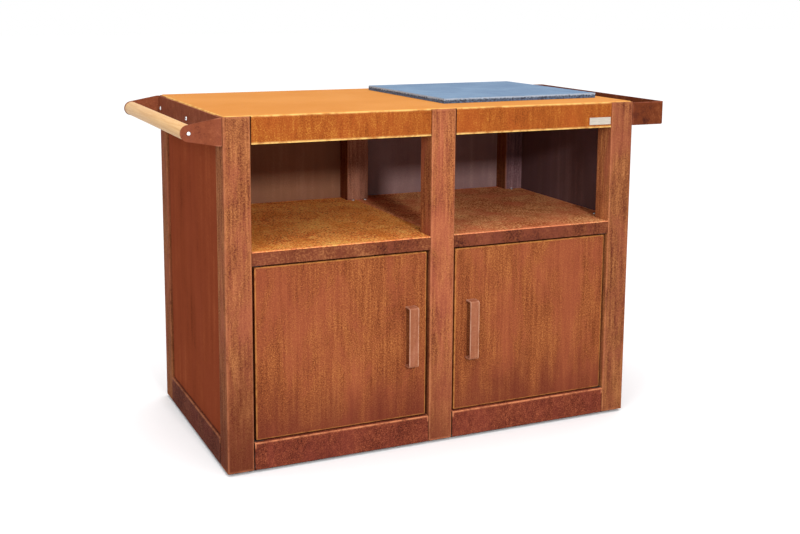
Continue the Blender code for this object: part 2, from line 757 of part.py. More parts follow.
# Rod between the arms, held by a screw at each end
rod = bar(
    "handle_rod",
    (ROD_X, FRONT + HANDLE_BAR + SEAT_GAP, HANDLE_CENTRE_HEIGHT),
    (ROD_X, REAR - HANDLE_BAR - SEAT_GAP, HANDLE_CENTRE_HEIGHT),
    ROD_RADIUS, ROUND_SEGMENTS, cart, rod_wood,
)
add_bevel(rod, ROD_EDGE_RADIUS, 2)
rod_ends = {"front": (FRONT, -1), "rear": (REAR, 1)}
for end, (face_y, outward_y) in rod_ends.items():
    screw(
        f"rod_screw_{end}", (ROD_X, face_y + outward_y * SEAT_GAP, HANDLE_CENTRE_HEIGHT),
        (0, outward_y, 0), BOLT_HEAD_RADIUS, BOLT_HEAD_HEIGHT, BOLT_SHANK_RADIUS,
        ROD_SCREW_LENGTH, screw_steel,
    )
    hole(
        f"rod_screw_{end}_hole",
        (ROD_X, face_y + outward_y * CUT_MARGIN, HANDLE_CENTRE_HEIGHT),
        (ROD_X, face_y - outward_y * ROD_BORE_DEPTH, HANDLE_CENTRE_HEIGHT),
        BOLT_SHANK_RADIUS + BOLT_HOLE_CLEARANCE, [handle_bracket, rod],
    )

# Bolts through the back of the bracket
bolt_spots = {
    "front": (FRONT + BOLT_FROM_CORNER, posts["front", "left"]),
    "mid": ((FRONT + REAR) / 2, worktop),
    "rear": (REAR - BOLT_FROM_CORNER, posts["rear", "left"]),
}
bolt_seat_x = bracket_face - HANDLE_BAR - SEAT_GAP
for spot, (y, held) in bolt_spots.items():
    screw(
        f"handle_bolt_{spot}", (bolt_seat_x, y, HANDLE_CENTRE_HEIGHT), (-1, 0, 0),
        BOLT_HEAD_RADIUS, BOLT_HEAD_HEIGHT, BOLT_SHANK_RADIUS, BOLT_SHANK_LENGTH, screw_steel,
    )
    hole(
        f"handle_bolt_{spot}_hole",
        (bolt_seat_x - CUT_MARGIN, y, HANDLE_CENTRE_HEIGHT),
        (bolt_seat_x + BOLT_SHANK_LENGTH + CUT_MARGIN, y, HANDLE_CENTRE_HEIGHT),
        BOLT_SHANK_RADIUS + BOLT_HOLE_CLEARANCE, [handle_bracket, held],
    )

# Side tray: an open box against the right posts
tray = block(
    "side_tray",
    (RIGHT + SEAT_GAP, FRONT, TRAY_TOP - TRAY_HEIGHT),
    (RIGHT + TRAY_REACH, REAR, TRAY_TOP),
    cart, tray_steel, open_sides=(UP,),
)
add_bevel(tray, TRAY_BEND_RADIUS)
add_sheet(tray, TRAY_SHEET)
tray_bolt_x = RIGHT + SEAT_GAP + TRAY_SHEET + SEAT_GAP
tray_bolt_z = TRAY_TOP - TRAY_HEIGHT / 2
tray_spots = {
    "front": (FRONT + BOLT_FROM_CORNER, posts["front", "right"]),
    "rear": (REAR - BOLT_FROM_CORNER, posts["rear", "right"]),
}
for spot, (y, post) in tray_spots.items():
    screw(
        f"tray_bolt_{spot}", (tray_bolt_x, y, tray_bolt_z), (1, 0, 0),
        BOLT_HEAD_RADIUS, BOLT_HEAD_HEIGHT, BOLT_SHANK_RADIUS, BOLT_SHANK_LENGTH, screw_steel,
    )
    hole(
        f"tray_bolt_{spot}_hole",
        (tray_bolt_x + CUT_MARGIN, y, tray_bolt_z),
        (tray_bolt_x - BOLT_SHANK_LENGTH - CUT_MARGIN, y, tray_bolt_z),
        BOLT_SHANK_RADIUS + BOLT_HOLE_CLEARANCE, [tray, post],
    )

# Stone slab, lying a little turned on the worktop
slab = block(
    "stone_slab",
    (LEFT + SLAB_LEFT, SLAB_FRONT, WORKTOP_HEIGHT + SEAT_GAP),
    (
        LEFT + SLAB_LEFT + SLAB_WIDTH,
        SLAB_FRONT + SLAB_DEPTH,
        WORKTOP_HEIGHT + SEAT_GAP + SLAB_THICKNESS,
    ),
    cart, slab_stone,
    origin=(LEFT + SLAB_LEFT, SLAB_FRONT, WORKTOP_HEIGHT + SEAT_GAP),
)
slab.rotation_euler = (0, 0, math.radians(SLAB_TURN_DEGREES))
add_bevel(slab, SLAB_EDGE_RADIUS, 2)

# Blank plate on the right apron
plate_right = POST_EDGES["right"] - APRON_END_GAP - PLATE_FROM_APRON_END
plate_rear = FRONT + WORKTOP_INSET - SEAT_GAP
plate = block(
    "blank_plate",
    (plate_right - PLATE_WIDTH, plate_rear - PLATE_THICKNESS, APRON_BOTTOM + PLATE_ABOVE_APRON_EDGE),
    (plate_right, plate_rear, APRON_BOTTOM + PLATE_ABOVE_APRON_EDGE + PLATE_HEIGHT),
    cart, plate_aluminium,
)
add_bevel(plate, PLATE_EDGE_RADIUS, 1)

# Four swivel casters under the floor, trailing toward +X
caster_spots = {
    "front_left": (LEFT + CASTER_FROM_SIDE, FRONT + CASTER_FROM_SIDE),
    "front_right": (RIGHT - CASTER_FROM_SIDE, FRONT + CASTER_FROM_SIDE),
    "rear_left": (LEFT + CASTER_FROM_SIDE, REAR - CASTER_FROM_SIDE),
    "rear_right": (RIGHT - CASTER_FROM_SIDE, REAR - CASTER_FROM_SIDE),
}
plate_top = FLOOR_BOTTOM - SEAT_GAP
plate_bottom = plate_top - CASTER_PLATE
crown_top = plate_bottom - SWIVEL_GAP
half_fork = WHEEL_WIDTH / 2 + WHEEL_SIDE_GAP + FORK_SHEET
for spot, (x, y) in caster_spots.items():
    caster_plate = block(
        f"caster_plate_{spot}",
        (x - CASTER_PLATE_SIZE / 2, y - CASTER_PLATE_SIZE / 2, plate_bottom),
        (x + CASTER_PLATE_SIZE / 2, y + CASTER_PLATE_SIZE / 2, plate_top),
        cart, hidden_steel,
    )
    hole(
        f"caster_plate_{spot}_hole",
        (x, y, plate_bottom - CUT_MARGIN), (x, y, plate_top + CUT_MARGIN),
        KINGPIN_RADIUS + KINGPIN_CLEARANCE, [caster_plate],
    )
    axle_x = x + CASTER_TRAIL
    fork_low = WHEEL_RADIUS - FORK_BELOW_AXLE
    fork = strip(
        f"caster_fork_{spot}",
        [
            (x - FORK_FRONT, y - half_fork, fork_low),
            (x - FORK_FRONT, y - half_fork, crown_top),
            (x - FORK_FRONT, y + half_fork, crown_top),
            (x - FORK_FRONT, y + half_fork, fork_low),
        ],
        (FORK_FRONT + CASTER_TRAIL + FORK_PAST_AXLE, 0, 0),
        cart, hidden_steel, (x, y, crown_top), flip=True,
    )
    add_bevel(fork, FORK_BEND_RADIUS, 2)
    add_sheet(fork, FORK_SHEET)
    kingpin = as_cutter(
        bar(
            f"caster_kingpin_{spot}",
            (x, y, crown_top - FORK_SHEET / 2), (x, y, plate_top - SEAT_GAP),
            KINGPIN_RADIUS, SMALL_ROUND_SEGMENTS, cutters,
        )
    )
    add_boolean(fork, kingpin, "UNION")
    axle = as_cutter(
        bar(
            f"caster_axle_{spot}",
            (axle_x, y - half_fork - FORK_SHEET / 2, WHEEL_RADIUS),
            (axle_x, y + half_fork + FORK_SHEET / 2, WHEEL_RADIUS),
            AXLE_RADIUS, SMALL_ROUND_SEGMENTS, cutters,
        )
    )
    add_boolean(fork, axle, "UNION")
    wheel = bar(
        f"caster_wheel_{spot}",
        (axle_x, y - WHEEL_WIDTH / 2, WHEEL_RADIUS), (axle_x, y + WHEEL_WIDTH / 2, WHEEL_RADIUS),
        WHEEL_RADIUS, ROUND_SEGMENTS, cart, wheel_rubber,
    )
    add_bevel(wheel, WHEEL_EDGE_RADIUS)
    hole(
        f"caster_wheel_{spot}_bore",
        (axle_x, y - WHEEL_WIDTH, WHEEL_RADIUS), (axle_x, y + WHEEL_WIDTH, WHEEL_RADIUS),
        AXLE_RADIUS + AXLE_CLEARANCE, [wheel],
    )
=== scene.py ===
import math

import bmesh
import bpy
from mathutils import Matrix, Vector, noise


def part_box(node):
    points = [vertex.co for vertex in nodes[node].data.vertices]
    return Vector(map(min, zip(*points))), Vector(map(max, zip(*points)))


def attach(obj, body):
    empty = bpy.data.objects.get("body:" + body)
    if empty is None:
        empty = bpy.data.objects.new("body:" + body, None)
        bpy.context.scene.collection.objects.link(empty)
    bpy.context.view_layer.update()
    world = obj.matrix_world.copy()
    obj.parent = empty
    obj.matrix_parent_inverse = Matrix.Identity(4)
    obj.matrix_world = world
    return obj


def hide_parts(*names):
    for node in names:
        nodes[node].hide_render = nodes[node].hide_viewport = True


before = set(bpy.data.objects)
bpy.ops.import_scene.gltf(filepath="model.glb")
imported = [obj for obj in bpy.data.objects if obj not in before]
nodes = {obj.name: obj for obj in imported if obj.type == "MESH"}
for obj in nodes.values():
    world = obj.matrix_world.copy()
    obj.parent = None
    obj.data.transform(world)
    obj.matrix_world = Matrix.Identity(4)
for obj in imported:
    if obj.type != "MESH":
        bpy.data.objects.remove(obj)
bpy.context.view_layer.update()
print("stage: frame loaded")


def addObject(name, data):
    item = bpy.data.objects.new(name, data)
    bpy.context.scene.collection.objects.link(item)
    return item


# Camera near the photograph's viewpoint, with a part of its lens shift
cameraSettings = {
    "location": (-1.3614, -3.0163, 1.2144),
    "turn": 0.4296,
    "pitch": 0.1557,
    "roll": 0.0074,
    "focalPixels": 1151.4,
    "imageWidth": 800,
    "sensorWidth": 36.0,
    "shiftY": -0.115,
}


def makeCamera(settings):
    data = bpy.data.cameras.new("camera")
    data.sensor_fit = "HORIZONTAL"
    data.sensor_width = settings["sensorWidth"]
    data.lens = settings["focalPixels"] * settings["sensorWidth"] / settings["imageWidth"]
    data.shift_y = settings["shiftY"]
    camera = addObject("camera", data)
    turn = Matrix.Rotation(-settings["turn"], 4, "Z")
    tilt = Matrix.Rotation(math.pi / 2 - settings["pitch"], 4, "X")
    roll = Matrix.Rotation(settings["roll"], 4, "Z")
    camera.matrix_world = Matrix.Translation(settings["location"]) @ turn @ tilt @ roll
    bpy.context.scene.camera = camera


makeCamera(cameraSettings)
print("stage: camera")

# Noise goes up and down about this value
noiseMiddle = 0.5

# Small helpers for materials


# A colour of 0 to 255 made linear by the standard curve
def fromSrgb(red, green, blue):
    linear = []
    for value in (red, green, blue):
        share = value / 255
        linear.append(share / 12.92 if share <= 0.04045 else ((share + 0.055) / 1.055) ** 2.4)
    return (*linear, 1.0)


# Adds a node. inputs holds values to set and sockets to link, each by its input's name or place.
def addNode(tree, kind, label="", inputs=None, **settings):
    node = tree.nodes.new(kind)
    node.label = label
    for key, value in settings.items():
        setattr(node, key, value)
    for key, value in (inputs or {}).items():
        if isinstance(value, bpy.types.NodeSocket):
            tree.links.new(value, node.inputs[key])
        else:
            node.inputs[key].default_value = value
    return node


def mathNode(tree, operation, first, second, label="", clamp=False):
    return addNode(
        tree, "ShaderNodeMath", label, {0: first, 1: second}, operation=operation, use_clamp=clamp
    ).outputs[0]


def vectorNode(tree, operation, first, second, label=""):
    return addNode(
        tree, "ShaderNodeVectorMath", label, {0: first, 1: second}, operation=operation
    ).outputs[0]


# Goes smoothly from low to high as value goes from the first limit to the second
def rangeNode(tree, value, limits, low=0.0, high=1.0, label=""):
    start, end = limits
    inputs = {"Value": value, "From Min": start, "From Max": end, "To Min": low, "To Max": high}
    node = addNode(tree, "ShaderNodeMapRange", label, inputs, interpolation_type="SMOOTHSTEP")
    return node.outputs["Result"]


def mixColours(tree, factor, first, second, label=""):
    node = addNode(tree, "ShaderNodeMix", label, {0: factor, 6: first, 7: second}, data_type="RGBA")
    return node.outputs[2]


# settings holds the noise's detail, roughness and distortion, and its scale where none is given
def noiseNode(tree, vector, settings, label, scale=None):
    inputs = {
        "Vector": vector,
        "Scale": settings["scale"] if scale is None else scale,
        "Detail": settings["detail"],
        "Roughness": settings["roughness"],
        "Distortion": settings.get("distortion", 0.0),
    }
    return addNode(tree, "ShaderNodeTexNoise", label, inputs).outputs["Fac"]


# Noise as a mask that goes from low to high between the limits in settings
def noiseMask(tree, vector, settings, label, low=0.0, high=1.0):
    value = noiseNode(tree, vector, settings, label)
    return rangeNode(tree, value, settings["limits"], low, high, f"{label} mask")


def surfaceNormal(tree):
    return addNode(tree, "ShaderNodeNewGeometry").outputs["Normal"]


def upwardPart(tree, vector):
    return addNode(tree, "ShaderNodeSeparateXYZ", "", {0: vector}).outputs[2]


def groupNode(tree, group, label, inputs):
    return addNode(tree, "ShaderNodeGroup", label, inputs, node_tree=group)


# inputs and outputs give each socket's kind, such as Vector or Float
def newGroup(name, inputs, outputs, treeKind="ShaderNodeTree"):
    group = bpy.data.node_groups.new(name, treeKind)
    for direction, sockets in (("INPUT", inputs), ("OUTPUT", outputs)):
        for label, kind in sockets.items():
            group.interface.new_socket(label, in_out=direction, socket_type=f"NodeSocket{kind}")
    given = group.nodes.new("NodeGroupInput").outputs
    result = group.nodes.new("NodeGroupOutput").inputs
    return group, given, result


# Effects that several materials share

# Each mask starts at its first limit and is full at its second
patinaShape = {
    "streaks": {"detail": 3.0, "roughness": 0.55, "distortion": 0.15},
    "mottle": {"detail": 6.0, "roughness": 0.62, "distortion": 0.35},
    "grain": {"detail": 3.0, "roughness": 0.7},
    "darkTone": (0.5, 0.22),
    "brightTone": (0.5, 0.80),
    "pits": {"detail": 2.0, "roughness": 0.5},
    "pitScaleShare": 0.62,
    "pitHeight": -0.7,
    "darkSpecks": (0.60, 0.70),
    "brightSpecks": (0.40, 0.30),
    "patches": {"scale": 9.0, "detail": 5.0, "roughness": 0.65, "distortion": 0.5, "limits": (0.42, 0.66)},
    "patchStretch": (1.0, 1.0, 0.4),
    "roughnessTones": (0.2, 0.8),
    "roughest": 0.86,
    "smoothest": 0.66,
}

# The patina's colours and numbers, and the name that each has in a look
patinaColours = {"Bright": "bright", "Middle": "middle", "Dark": "dark", "Patch": "patch"}
patinaNumbers = {
    "Patch Amount": "patchAmount",
    "Streak Scale": "streakScale",
    "Streak Amount": "streakAmount",
    "Mottle Scale": "mottleScale",
    "Mottle Amount": "mottleAmount",
    "Grain Scale": "grainScale",
    "Grain Amount": "grainAmount",
    "Speckle Amount": "speckleAmount",
}


def makePatinaGroup(shape):
    inputs = {"Vector": "Vector", "Stretch": "Vector"}
    inputs.update(dict.fromkeys(patinaColours, "Color"))
    inputs.update(dict.fromkeys(patinaNumbers, "Float"))
    outputs = {"Color": "Color", "Height": "Float", "Roughness": "Float"}
    tree, given, result = newGroup("rust patina", inputs, outputs)
    stretched = vectorNode(tree, "MULTIPLY", given["Vector"], given["Stretch"], "run the streaks")
    longer = vectorNode(tree, "MULTIPLY", given["Vector"], shape["patchStretch"], "longer patches")
    pitScale = mathNode(tree, "MULTIPLY", given["Grain Scale"], shape["pitScaleShare"], "pit scale")
    streak = noiseNode(tree, stretched, shape["streaks"], "streaks", given["Streak Scale"])
    mottle = noiseNode(tree, given["Vector"], shape["mottle"], "mottle", given["Mottle Scale"])
    grain = noiseNode(tree, given["Vector"], shape["grain"], "grain", given["Grain Scale"])
    pits = noiseNode(tree, given["Vector"], shape["pits"], "pits", pitScale)
    tone = noiseMiddle
    for value, amount in ((streak, "Streak Amount"), (mottle, "Mottle Amount"), (grain, "Grain Amount")):
        shift = mathNode(tree, "SUBTRACT", value, noiseMiddle)
        tone = mathNode(tree, "ADD", tone, mathNode(tree, "MULTIPLY", shift, given[amount]), "tone")
    toDark = rangeNode(tree, tone, shape["darkTone"], label="toward dark")
    toBright = rangeNode(tree, tone, shape["brightTone"], label="toward bright")
    colour = mixColours(tree, toDark, given["Middle"], given["Dark"], "dark rust")
    colour = mixColours(tree, toBright, colour, given["Bright"], "bright rust")
    for limits, speckColour in (("darkSpecks", "Dark"), ("brightSpecks", "Bright")):
        specks = rangeNode(tree, pits, shape[limits], label="specks")
        amount = mathNode(tree, "MULTIPLY", specks, given["Speckle Amount"])
        colour = mixColours(tree, amount, colour, given[speckColour], "specks on")
    patches = noiseMask(tree, longer, shape["patches"], "patches", high=given["Patch Amount"])
    colour = mixColours(tree, patches, colour, given["Patch"], "patches on")
    height = mathNode(tree, "ADD", grain, mathNode(tree, "MULTIPLY", pits, shape["pitHeight"]), "relief")
    roughness = rangeNode(tree, tone, shape["roughnessTones"], shape["roughest"], shape["smoothest"])
    tree.links.new(colour, result["Color"])
    tree.links.new(height, result["Height"])
    tree.links.new(roughness, result["Roughness"])
    return tree


# How near a point is to the long edges of its piece's box, from 0 to 1
def makeEdgeGroup():
    inputs = {"Vector": "Vector", "Low": "Vector", "High": "Vector", "Width": "Float"}
    tree, given, result = newGroup("edge band", inputs, {"Factor": "Float"})
    fromLow = vectorNode(tree, "SUBTRACT", given["Vector"], given["Low"])
    fromHigh = vectorNode(tree, "SUBTRACT", given["High"], given["Vector"])
    nearest = vectorNode(tree, "MINIMUM", fromLow, fromHigh, "distance to each side")
    parts = addNode(tree, "ShaderNodeSeparateXYZ", "", {0: nearest}).outputs
    total = mathNode(tree, "ADD", mathNode(tree, "ADD", parts[0], parts[1]), parts[2])
    most = mathNode(tree, "MAXIMUM", mathNode(tree, "MAXIMUM", parts[0], parts[1]), parts[2])
    least = mathNode(tree, "MINIMUM", mathNode(tree, "MINIMUM", parts[0], parts[1]), parts[2])
    second = mathNode(tree, "SUBTRACT", mathNode(tree, "SUBTRACT", total, most), least, "to the edge")
    band = rangeNode(tree, second, (0.0, given["Width"]), 1.0, 0.0, "band")
    tree.links.new(band, result["Factor"])
    return tree


fallShape = {
    "stretch": (1.0, 1.0, 0.12),
    "start": {"scale": 22.0, "detail": 4.0, "roughness": 0.6},
}


# A tone that grows down a piece, with a ragged start
def makeFallGroup(shape):
    inputs = {"Vector": "Vector", "Top": "Float", "Bottom": "Float", "Raggedness": "Float"}
    tree, given, result = newGroup("downward stain", inputs, {"Factor": "Float"})
    stretched = vectorNode(tree, "MULTIPLY", given["Vector"], shape["stretch"])
    start = noiseNode(tree, stretched, shape["start"], "ragged start")
    shift = mathNode(tree, "SUBTRACT", start, noiseMiddle)
    offset = mathNode(tree, "MULTIPLY", shift, given["Raggedness"])
    level = mathNode(tree, "ADD", upwardPart(tree, given["Vector"]), offset)
    stain = rangeNode(tree, level, (given["Top"], given["Bottom"]), label="stain")
    tree.links.new(stain, result["Factor"])
    return tree


patinaGroup = makePatinaGroup(patinaShape)
edgeGroup = makeEdgeGroup()
fallGroup = makeFallGroup(fallShape)


def newMaterial(name):
    material = bpy.data.materials.new(name)
    material.use_nodes = True
    tree = material.node_tree
    shader = tree.nodes["Principled BSDF"]
    coordinates = addNode(tree, "ShaderNodeTexCoord").outputs["Object"]
    return material, tree, shader, coordinates


def addBump(tree, shader, height, strength, distance):
    inputs = {"Height": height, "Strength": strength, "Distance": distance}
    bump = addNode(tree, "ShaderNodeBump", "relief", inputs)
    tree.links.new(bump.outputs["Normal"], shader.inputs["Normal"])


# The inputs of the rust patina for one look
def patinaInputs(look, vector):
    inputs = {"Vector": vector, "Stretch": look["stretch"]}
    for label, key in patinaColours.items():
        inputs[label] = fromSrgb(*look[key])
    for label, key in patinaNumbers.items():
        inputs[label] = look[key]
    return inputs


# Each of these puts one effect over colour and gives the new colour


def addStain(tree, stain, vector, colour):
    inputs = {
        "Vector": vector,
        "Top": stain["top"],
        "Bottom": stain["bottom"],
        "Raggedness": stain["raggedness"],
    }
    fall = groupNode(tree, fallGroup, "stain", inputs).outputs["Factor"]
    amount = mathNode(tree, "MULTIPLY", fall, stain["amount"])
    return mixColours(tree, amount, colour, fromSrgb(*stain["colour"]), "stain on")


# Two colours in soft clouds, with fine grain, on the faces that look up
def addTop(tree, top, coordinates, colour):
    clouds = noiseMask(tree, coordinates, top["clouds"], "clouds")
    grain = noiseMask(tree, coordinates, top["grain"], "grain", high=top["grainAmount"])
    onTop = mixColours(tree, clouds, fromSrgb(*top["colour"]), fromSrgb(*top["shade"]), "clouds on")
    onTop = mixColours(tree, grain, onTop, fromSrgb(*top["grainColour"]), "grain on")
    facing = rangeNode(tree, upwardPart(tree, surfaceNormal(tree)), top["facing"], label="faces up")
    return mixColours(tree, facing, colour, onTop, "top on")


# The same patina with some values changed, where mask is 1; on the shelves' lips this is their own rust,
# and on inward faces it is painted light and shade
def addSecondPatinaAndPaintedInside(tree, look, changes, vector, mask, colour):
    second = groupNode(tree, patinaGroup, "lip patina and painted inside", patinaInputs({**look, **changes}, vector))
    return mixColours(tree, mask, colour, second.outputs["Color"], "lip patina and painted inside on")


edgeWearAndHighlightShape = {
    "patches": {"scale": 45.0, "detail": 3.0, "roughness": 0.6, "limits": (0.3, 0.62)},
    "least": 0.25,
}


# Wear and a painted highlight along the edges come in patches, with the least of both between them
def addWornEdgeAndHighlight(tree, look, low, high, coordinates, colour):
    inputs = {"Vector": coordinates, "Low": low, "High": high, "Width": look["edgeWidth"]}
    edge = groupNode(tree, edgeGroup, "edge wear and painted highlight", inputs).outputs["Factor"]
    edgePatches = noiseMask(tree, coordinates, edgeWearAndHighlightShape["patches"], "edgePatches", low=edgeWearAndHighlightShape["least"])
    amount = mathNode(tree, "MULTIPLY", edge, edgePatches)
    amount = mathNode(tree, "MULTIPLY", amount, look["edgeAmount"])
    # Some pieces keep the pale band on their upper edges only, where the painted highlight of a top bend
    # goes
    if "edgeFrom" in look:
        start = low[2] + look["edgeFrom"] * (high[2] - low[2])
        limits = (start, start + look["edgeWidth"])
        above = rangeNode(tree, upwardPart(tree, coordinates), limits, label="upper edges only")
        amount = mathNode(tree, "MULTIPLY", amount, above)
    # Paler edges: partly wear, partly a painted highlight
    return mixColours(tree, amount, colour, fromSrgb(*look["edgeColour"]), "worn edge and painted highlight")


steelShape = {
    "inwardFacing": (0.3, 0.7),
    "sidewaysFacing": (0.75, 0.35),
    "reliefHeight": 0.0008,
    "shine": 0.04,
}


# Weathering steel for one piece. low and high are the corners of the piece's box.
def makeSteel(name, look, offset, low, high):
    material, tree, shader, coordinates = newMaterial(name)
    moved = vectorNode(tree, "ADD", coordinates, offset, "own stretch of rust")
    patina = groupNode(tree, patinaGroup, "patina", patinaInputs(look, moved))
    colour = patina.outputs["Color"]
    if "stain" in look:
        colour = addStain(tree, look["stain"], moved, colour)
    if "top" in look:
        colour = addTop(tree, look["top"], coordinates, colour)
    # Inward faces get the colours of painted light and shade inside the bays
    if "paintedInside" in look:
        towards = addNode(
            tree, "ShaderNodeVectorMath", "", {0: surfaceNormal(tree), 1: look["inward"]},
            operation="DOT_PRODUCT",
        ).outputs["Value"]
        mask = rangeNode(tree, towards, steelShape["inwardFacing"], label="faces inward")
        colour = addSecondPatinaAndPaintedInside(tree, look, look["paintedInside"], moved, mask, colour)
    if "edgeAmount" in look:
        colour = addWornEdgeAndHighlight(tree, look, low, high, coordinates, colour)
    if "front" in look:
        up = upwardPart(tree, surfaceNormal(tree))
        mask = rangeNode(tree, up, steelShape["sidewaysFacing"], label="faces sideways")
        colour = addSecondPatinaAndPaintedInside(tree, look, look["front"], moved, mask, colour)
    tree.links.new(colour, shader.inputs["Base Color"])
    tree.links.new(patina.outputs["Roughness"], shader.inputs["Roughness"])
    shader.inputs["Specular IOR Level"].default_value = look.get("shine", steelShape["shine"])
    addBump(tree, shader, patina.outputs["Height"], look["relief"], steelShape["reliefHeight"])
    return material


def paint(nodeName, material):
    piece = nodes[nodeName]
    piece.data.materials.clear()
    piece.data.materials.append(material)


# Rusts one piece. index moves the pattern on, so that like pieces don't repeat it.
def rust(nodeName, look, index=0):
    offset = tuple(step * index for step in look.get("rustStep", (0.0, 0.0, 0.0)))
    paint(nodeName, makeSteel(f"rusted {nodeName}", look, offset, *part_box(nodeName)))


# How streaks are stretched
upright = (1.0, 1.0, 0.07)
evenly = (1.0, 1.0, 1.0)

# Posts: red-brown with fine upright grain, paler corners that are partly wear and partly a painted
# highlight, and a darker foot
postLook = {
    "bright": (183, 117, 71),
    "middle": (145, 85, 50),
    "dark": (97, 44, 31),
    "patch": (163, 87, 64),
    "patchAmount": 0.6,
    "stretch": upright,
    "streakScale": 130.0,
    "streakAmount": 1.0,
    "mottleScale": 9.0,
    "mottleAmount": 0.55,
    "grainScale": 300.0,
    "grainAmount": 1.4,
    "speckleAmount": 0.45,
    "edgeColour": (197, 125, 88),
    "edgeWidth": 0.007,
    "edgeAmount": 0.5,
    "relief": 0.45,
    "rustStep": (0.37, 0.61, 0.23),
    "stain": {"top": 0.42, "bottom": 0.0, "raggedness": 0.4, "amount": 0.8, "colour": (90, 38, 25)},
}
# Inward faces of three posts carry painted light and shade of the bays: bluish grey painted shade on the
# rear right post, greyer painted light on the rear mid post, and paler painted light on the front right
# post's inner face
rearRightPaintedShade = {
    "bright": (142, 108, 108),
    "middle": (113, 83, 86),
    "dark": (82, 59, 63),
    "patch": (112, 83, 90),
}
rearMidPaintedLight = {
    "bright": (181, 127, 97),
    "middle": (147, 97, 76),
    "dark": (106, 67, 52),
    "patch": (152, 102, 84),
}
frontRightPaintedLight = {
    "bright": (205, 135, 82),
    "middle": (162, 98, 58),
    "dark": (108, 52, 37),
    "patch": (178, 99, 72),
}
postTints = {
    "post_front_left": 0.98,
    "post_front_mid": 1.04,
    "post_front_right": 0.93,
    "post_rear_left": 0.92,
    "post_rear_mid": 0.85,
    "post_rear_right": 0.85,
}
postStainTops = {"post_front_mid": 0.66, "post_front_right": 0.62}
# The face of each post that gets its painted light or shade
postPaintedInsides = {
    "post_rear_mid": {"paintedInside": rearMidPaintedLight, "inward": (0.0, -1.0, 0.0)},
    "post_rear_right": {"paintedInside": rearRightPaintedShade, "inward": (0.0, -1.0, 0.0)},
    "post_front_right": {"paintedInside": frontRightPaintedLight, "inward": (-1.0, 0.0, 0.0)},
}


# The same look with every colour lighter or darker by one factor
def tinted(look, factor):
    changed = dict(look)
    for key in ("bright", "middle", "dark", "patch", "edgeColour"):
        changed[key] = tuple(value * factor for value in look[key])
    return changed


for index, (name, factor) in enumerate(postTints.items()):
    look = tinted(postLook, factor)
    look.update(postPaintedInsides.get(name, {}))
    stainTop = postStainTops.get(name, postLook["stain"]["top"])
    look["stain"] = {**postLook["stain"], "top": stainTop}
    rust(name, look, index)

# Worktop: a bright top with darker folded aprons
worktopLook = {
    "bright": (188, 122, 50),
    "middle": (154, 79, 30),
    "dark": (117, 56, 21),
    "patch": (168, 80, 35),
    "patchAmount": 0.35,
    "stretch": (1.0, 1.0, 0.16),
    "streakScale": 95.0,
    "streakAmount": 0.55,
    "mottleScale": 14.0,
    "mottleAmount": 0.35,
    "grainScale": 300.0,
    "grainAmount": 1.2,
    "speckleAmount": 0.3,
    # Pale yellow edges: wear and a painted highlight along the bends
    "edgeColour": (255, 211, 127),
    "edgeWidth": 0.007,
    "edgeAmount": 0.85,
    "top": {
        "colour": (214, 144, 74),
        "shade": (206, 133, 61),
        "clouds": {"scale": 3.2, "detail": 4.0, "roughness": 0.55, "distortion": 0.2, "limits": (0.3, 0.7)},
        "grain": {"scale": 260.0, "detail": 3.0, "roughness": 0.6, "limits": (0.3, 0.7)},
        "grainColour": (188, 122, 50),
        "grainAmount": 0.16,
        "facing": (0.45, 0.95),
    },
    "relief": 0.3,
}
rust("worktop", worktopLook)

# Shelves: ochre-brown, strongly speckled, with a redder lip and wide pale edges that are partly wear and
# partly painted light
shelfLook = {
    "bright": (255, 208, 112),
    "middle": (242, 133, 63),
    "dark": (151, 68, 35),
    "patch": (227, 135, 53),
    "patchAmount": 0.5,
    "stretch": evenly,
    "streakScale": 30.0,
    "streakAmount": 0.4,
    "mottleScale": 6.0,
    "mottleAmount": 0.9,
    "grainScale": 180.0,
    "grainAmount": 2.3,
    "speckleAmount": 0.85,
    "edgeColour": (255, 159, 112),
    "edgeWidth": 0.014,
    "edgeAmount": 0.6,
    "relief": 0.8,
    "rustStep": (0.4, 0.9, 0.0),
}
lipLook = {
    "bright": (157, 98, 61),
    "middle": (111, 57, 36),
    "dark": (64, 30, 24),
    "patch": (126, 65, 48),
    "grainAmount": 1.0,
    "speckleAmount": 0.3,
}
redderShelf = {
    "bright": (247, 193, 129),
    "middle": (213, 131, 81),
    "patch": (211, 114, 76),
    "patchAmount": 0.75,
}
shelfChanges = {"shelf_left": {}, "shelf_right": redderShelf, "cupboard_floor": {}}
for index, (name, changes) in enumerate(shelfChanges.items()):
    rust(name, {**shelfLook, **changes, "front": lipLook}, index)

# Plinths: red-brown, mottled and speckled, with a pale top edge that is partly wear and partly a painted
# highlight on the bend
plinthLook = {
    "bright": (164, 90, 60),
    "middle": (112, 51, 35),
    "dark": (62, 27, 21),
    "patch": (127, 58, 46),
    "patchAmount": 0.5,
    "stretch": (1.0, 1.0, 0.5),
    "streakScale": 90.0,
    "streakAmount": 0.5,
    "mottleScale": 11.0,
    "mottleAmount": 0.5,
    "grainScale": 330.0,
    "grainAmount": 1.5,
    "speckleAmount": 0.5,
    # Pale top edge: wear and a painted highlight where the top bend catches light
    "edgeColour": (217, 138, 95),
    "edgeWidth": 0.006,
    "edgeAmount": 0.9,
    "edgeFrom": 0.75,
    "relief": 0.5,
    "rustStep": (0.4, 0.3, 0.7),
}
plinthTints = {
    "plinth_front_left": 1.0,
    "plinth_front_right": 1.0,
    "plinth_left": 0.8,
    "plinth_right": 1.0,
}
for index, (name, factor) in enumerate(plinthTints.items()):
    rust(name, tinted(plinthLook, factor), index)

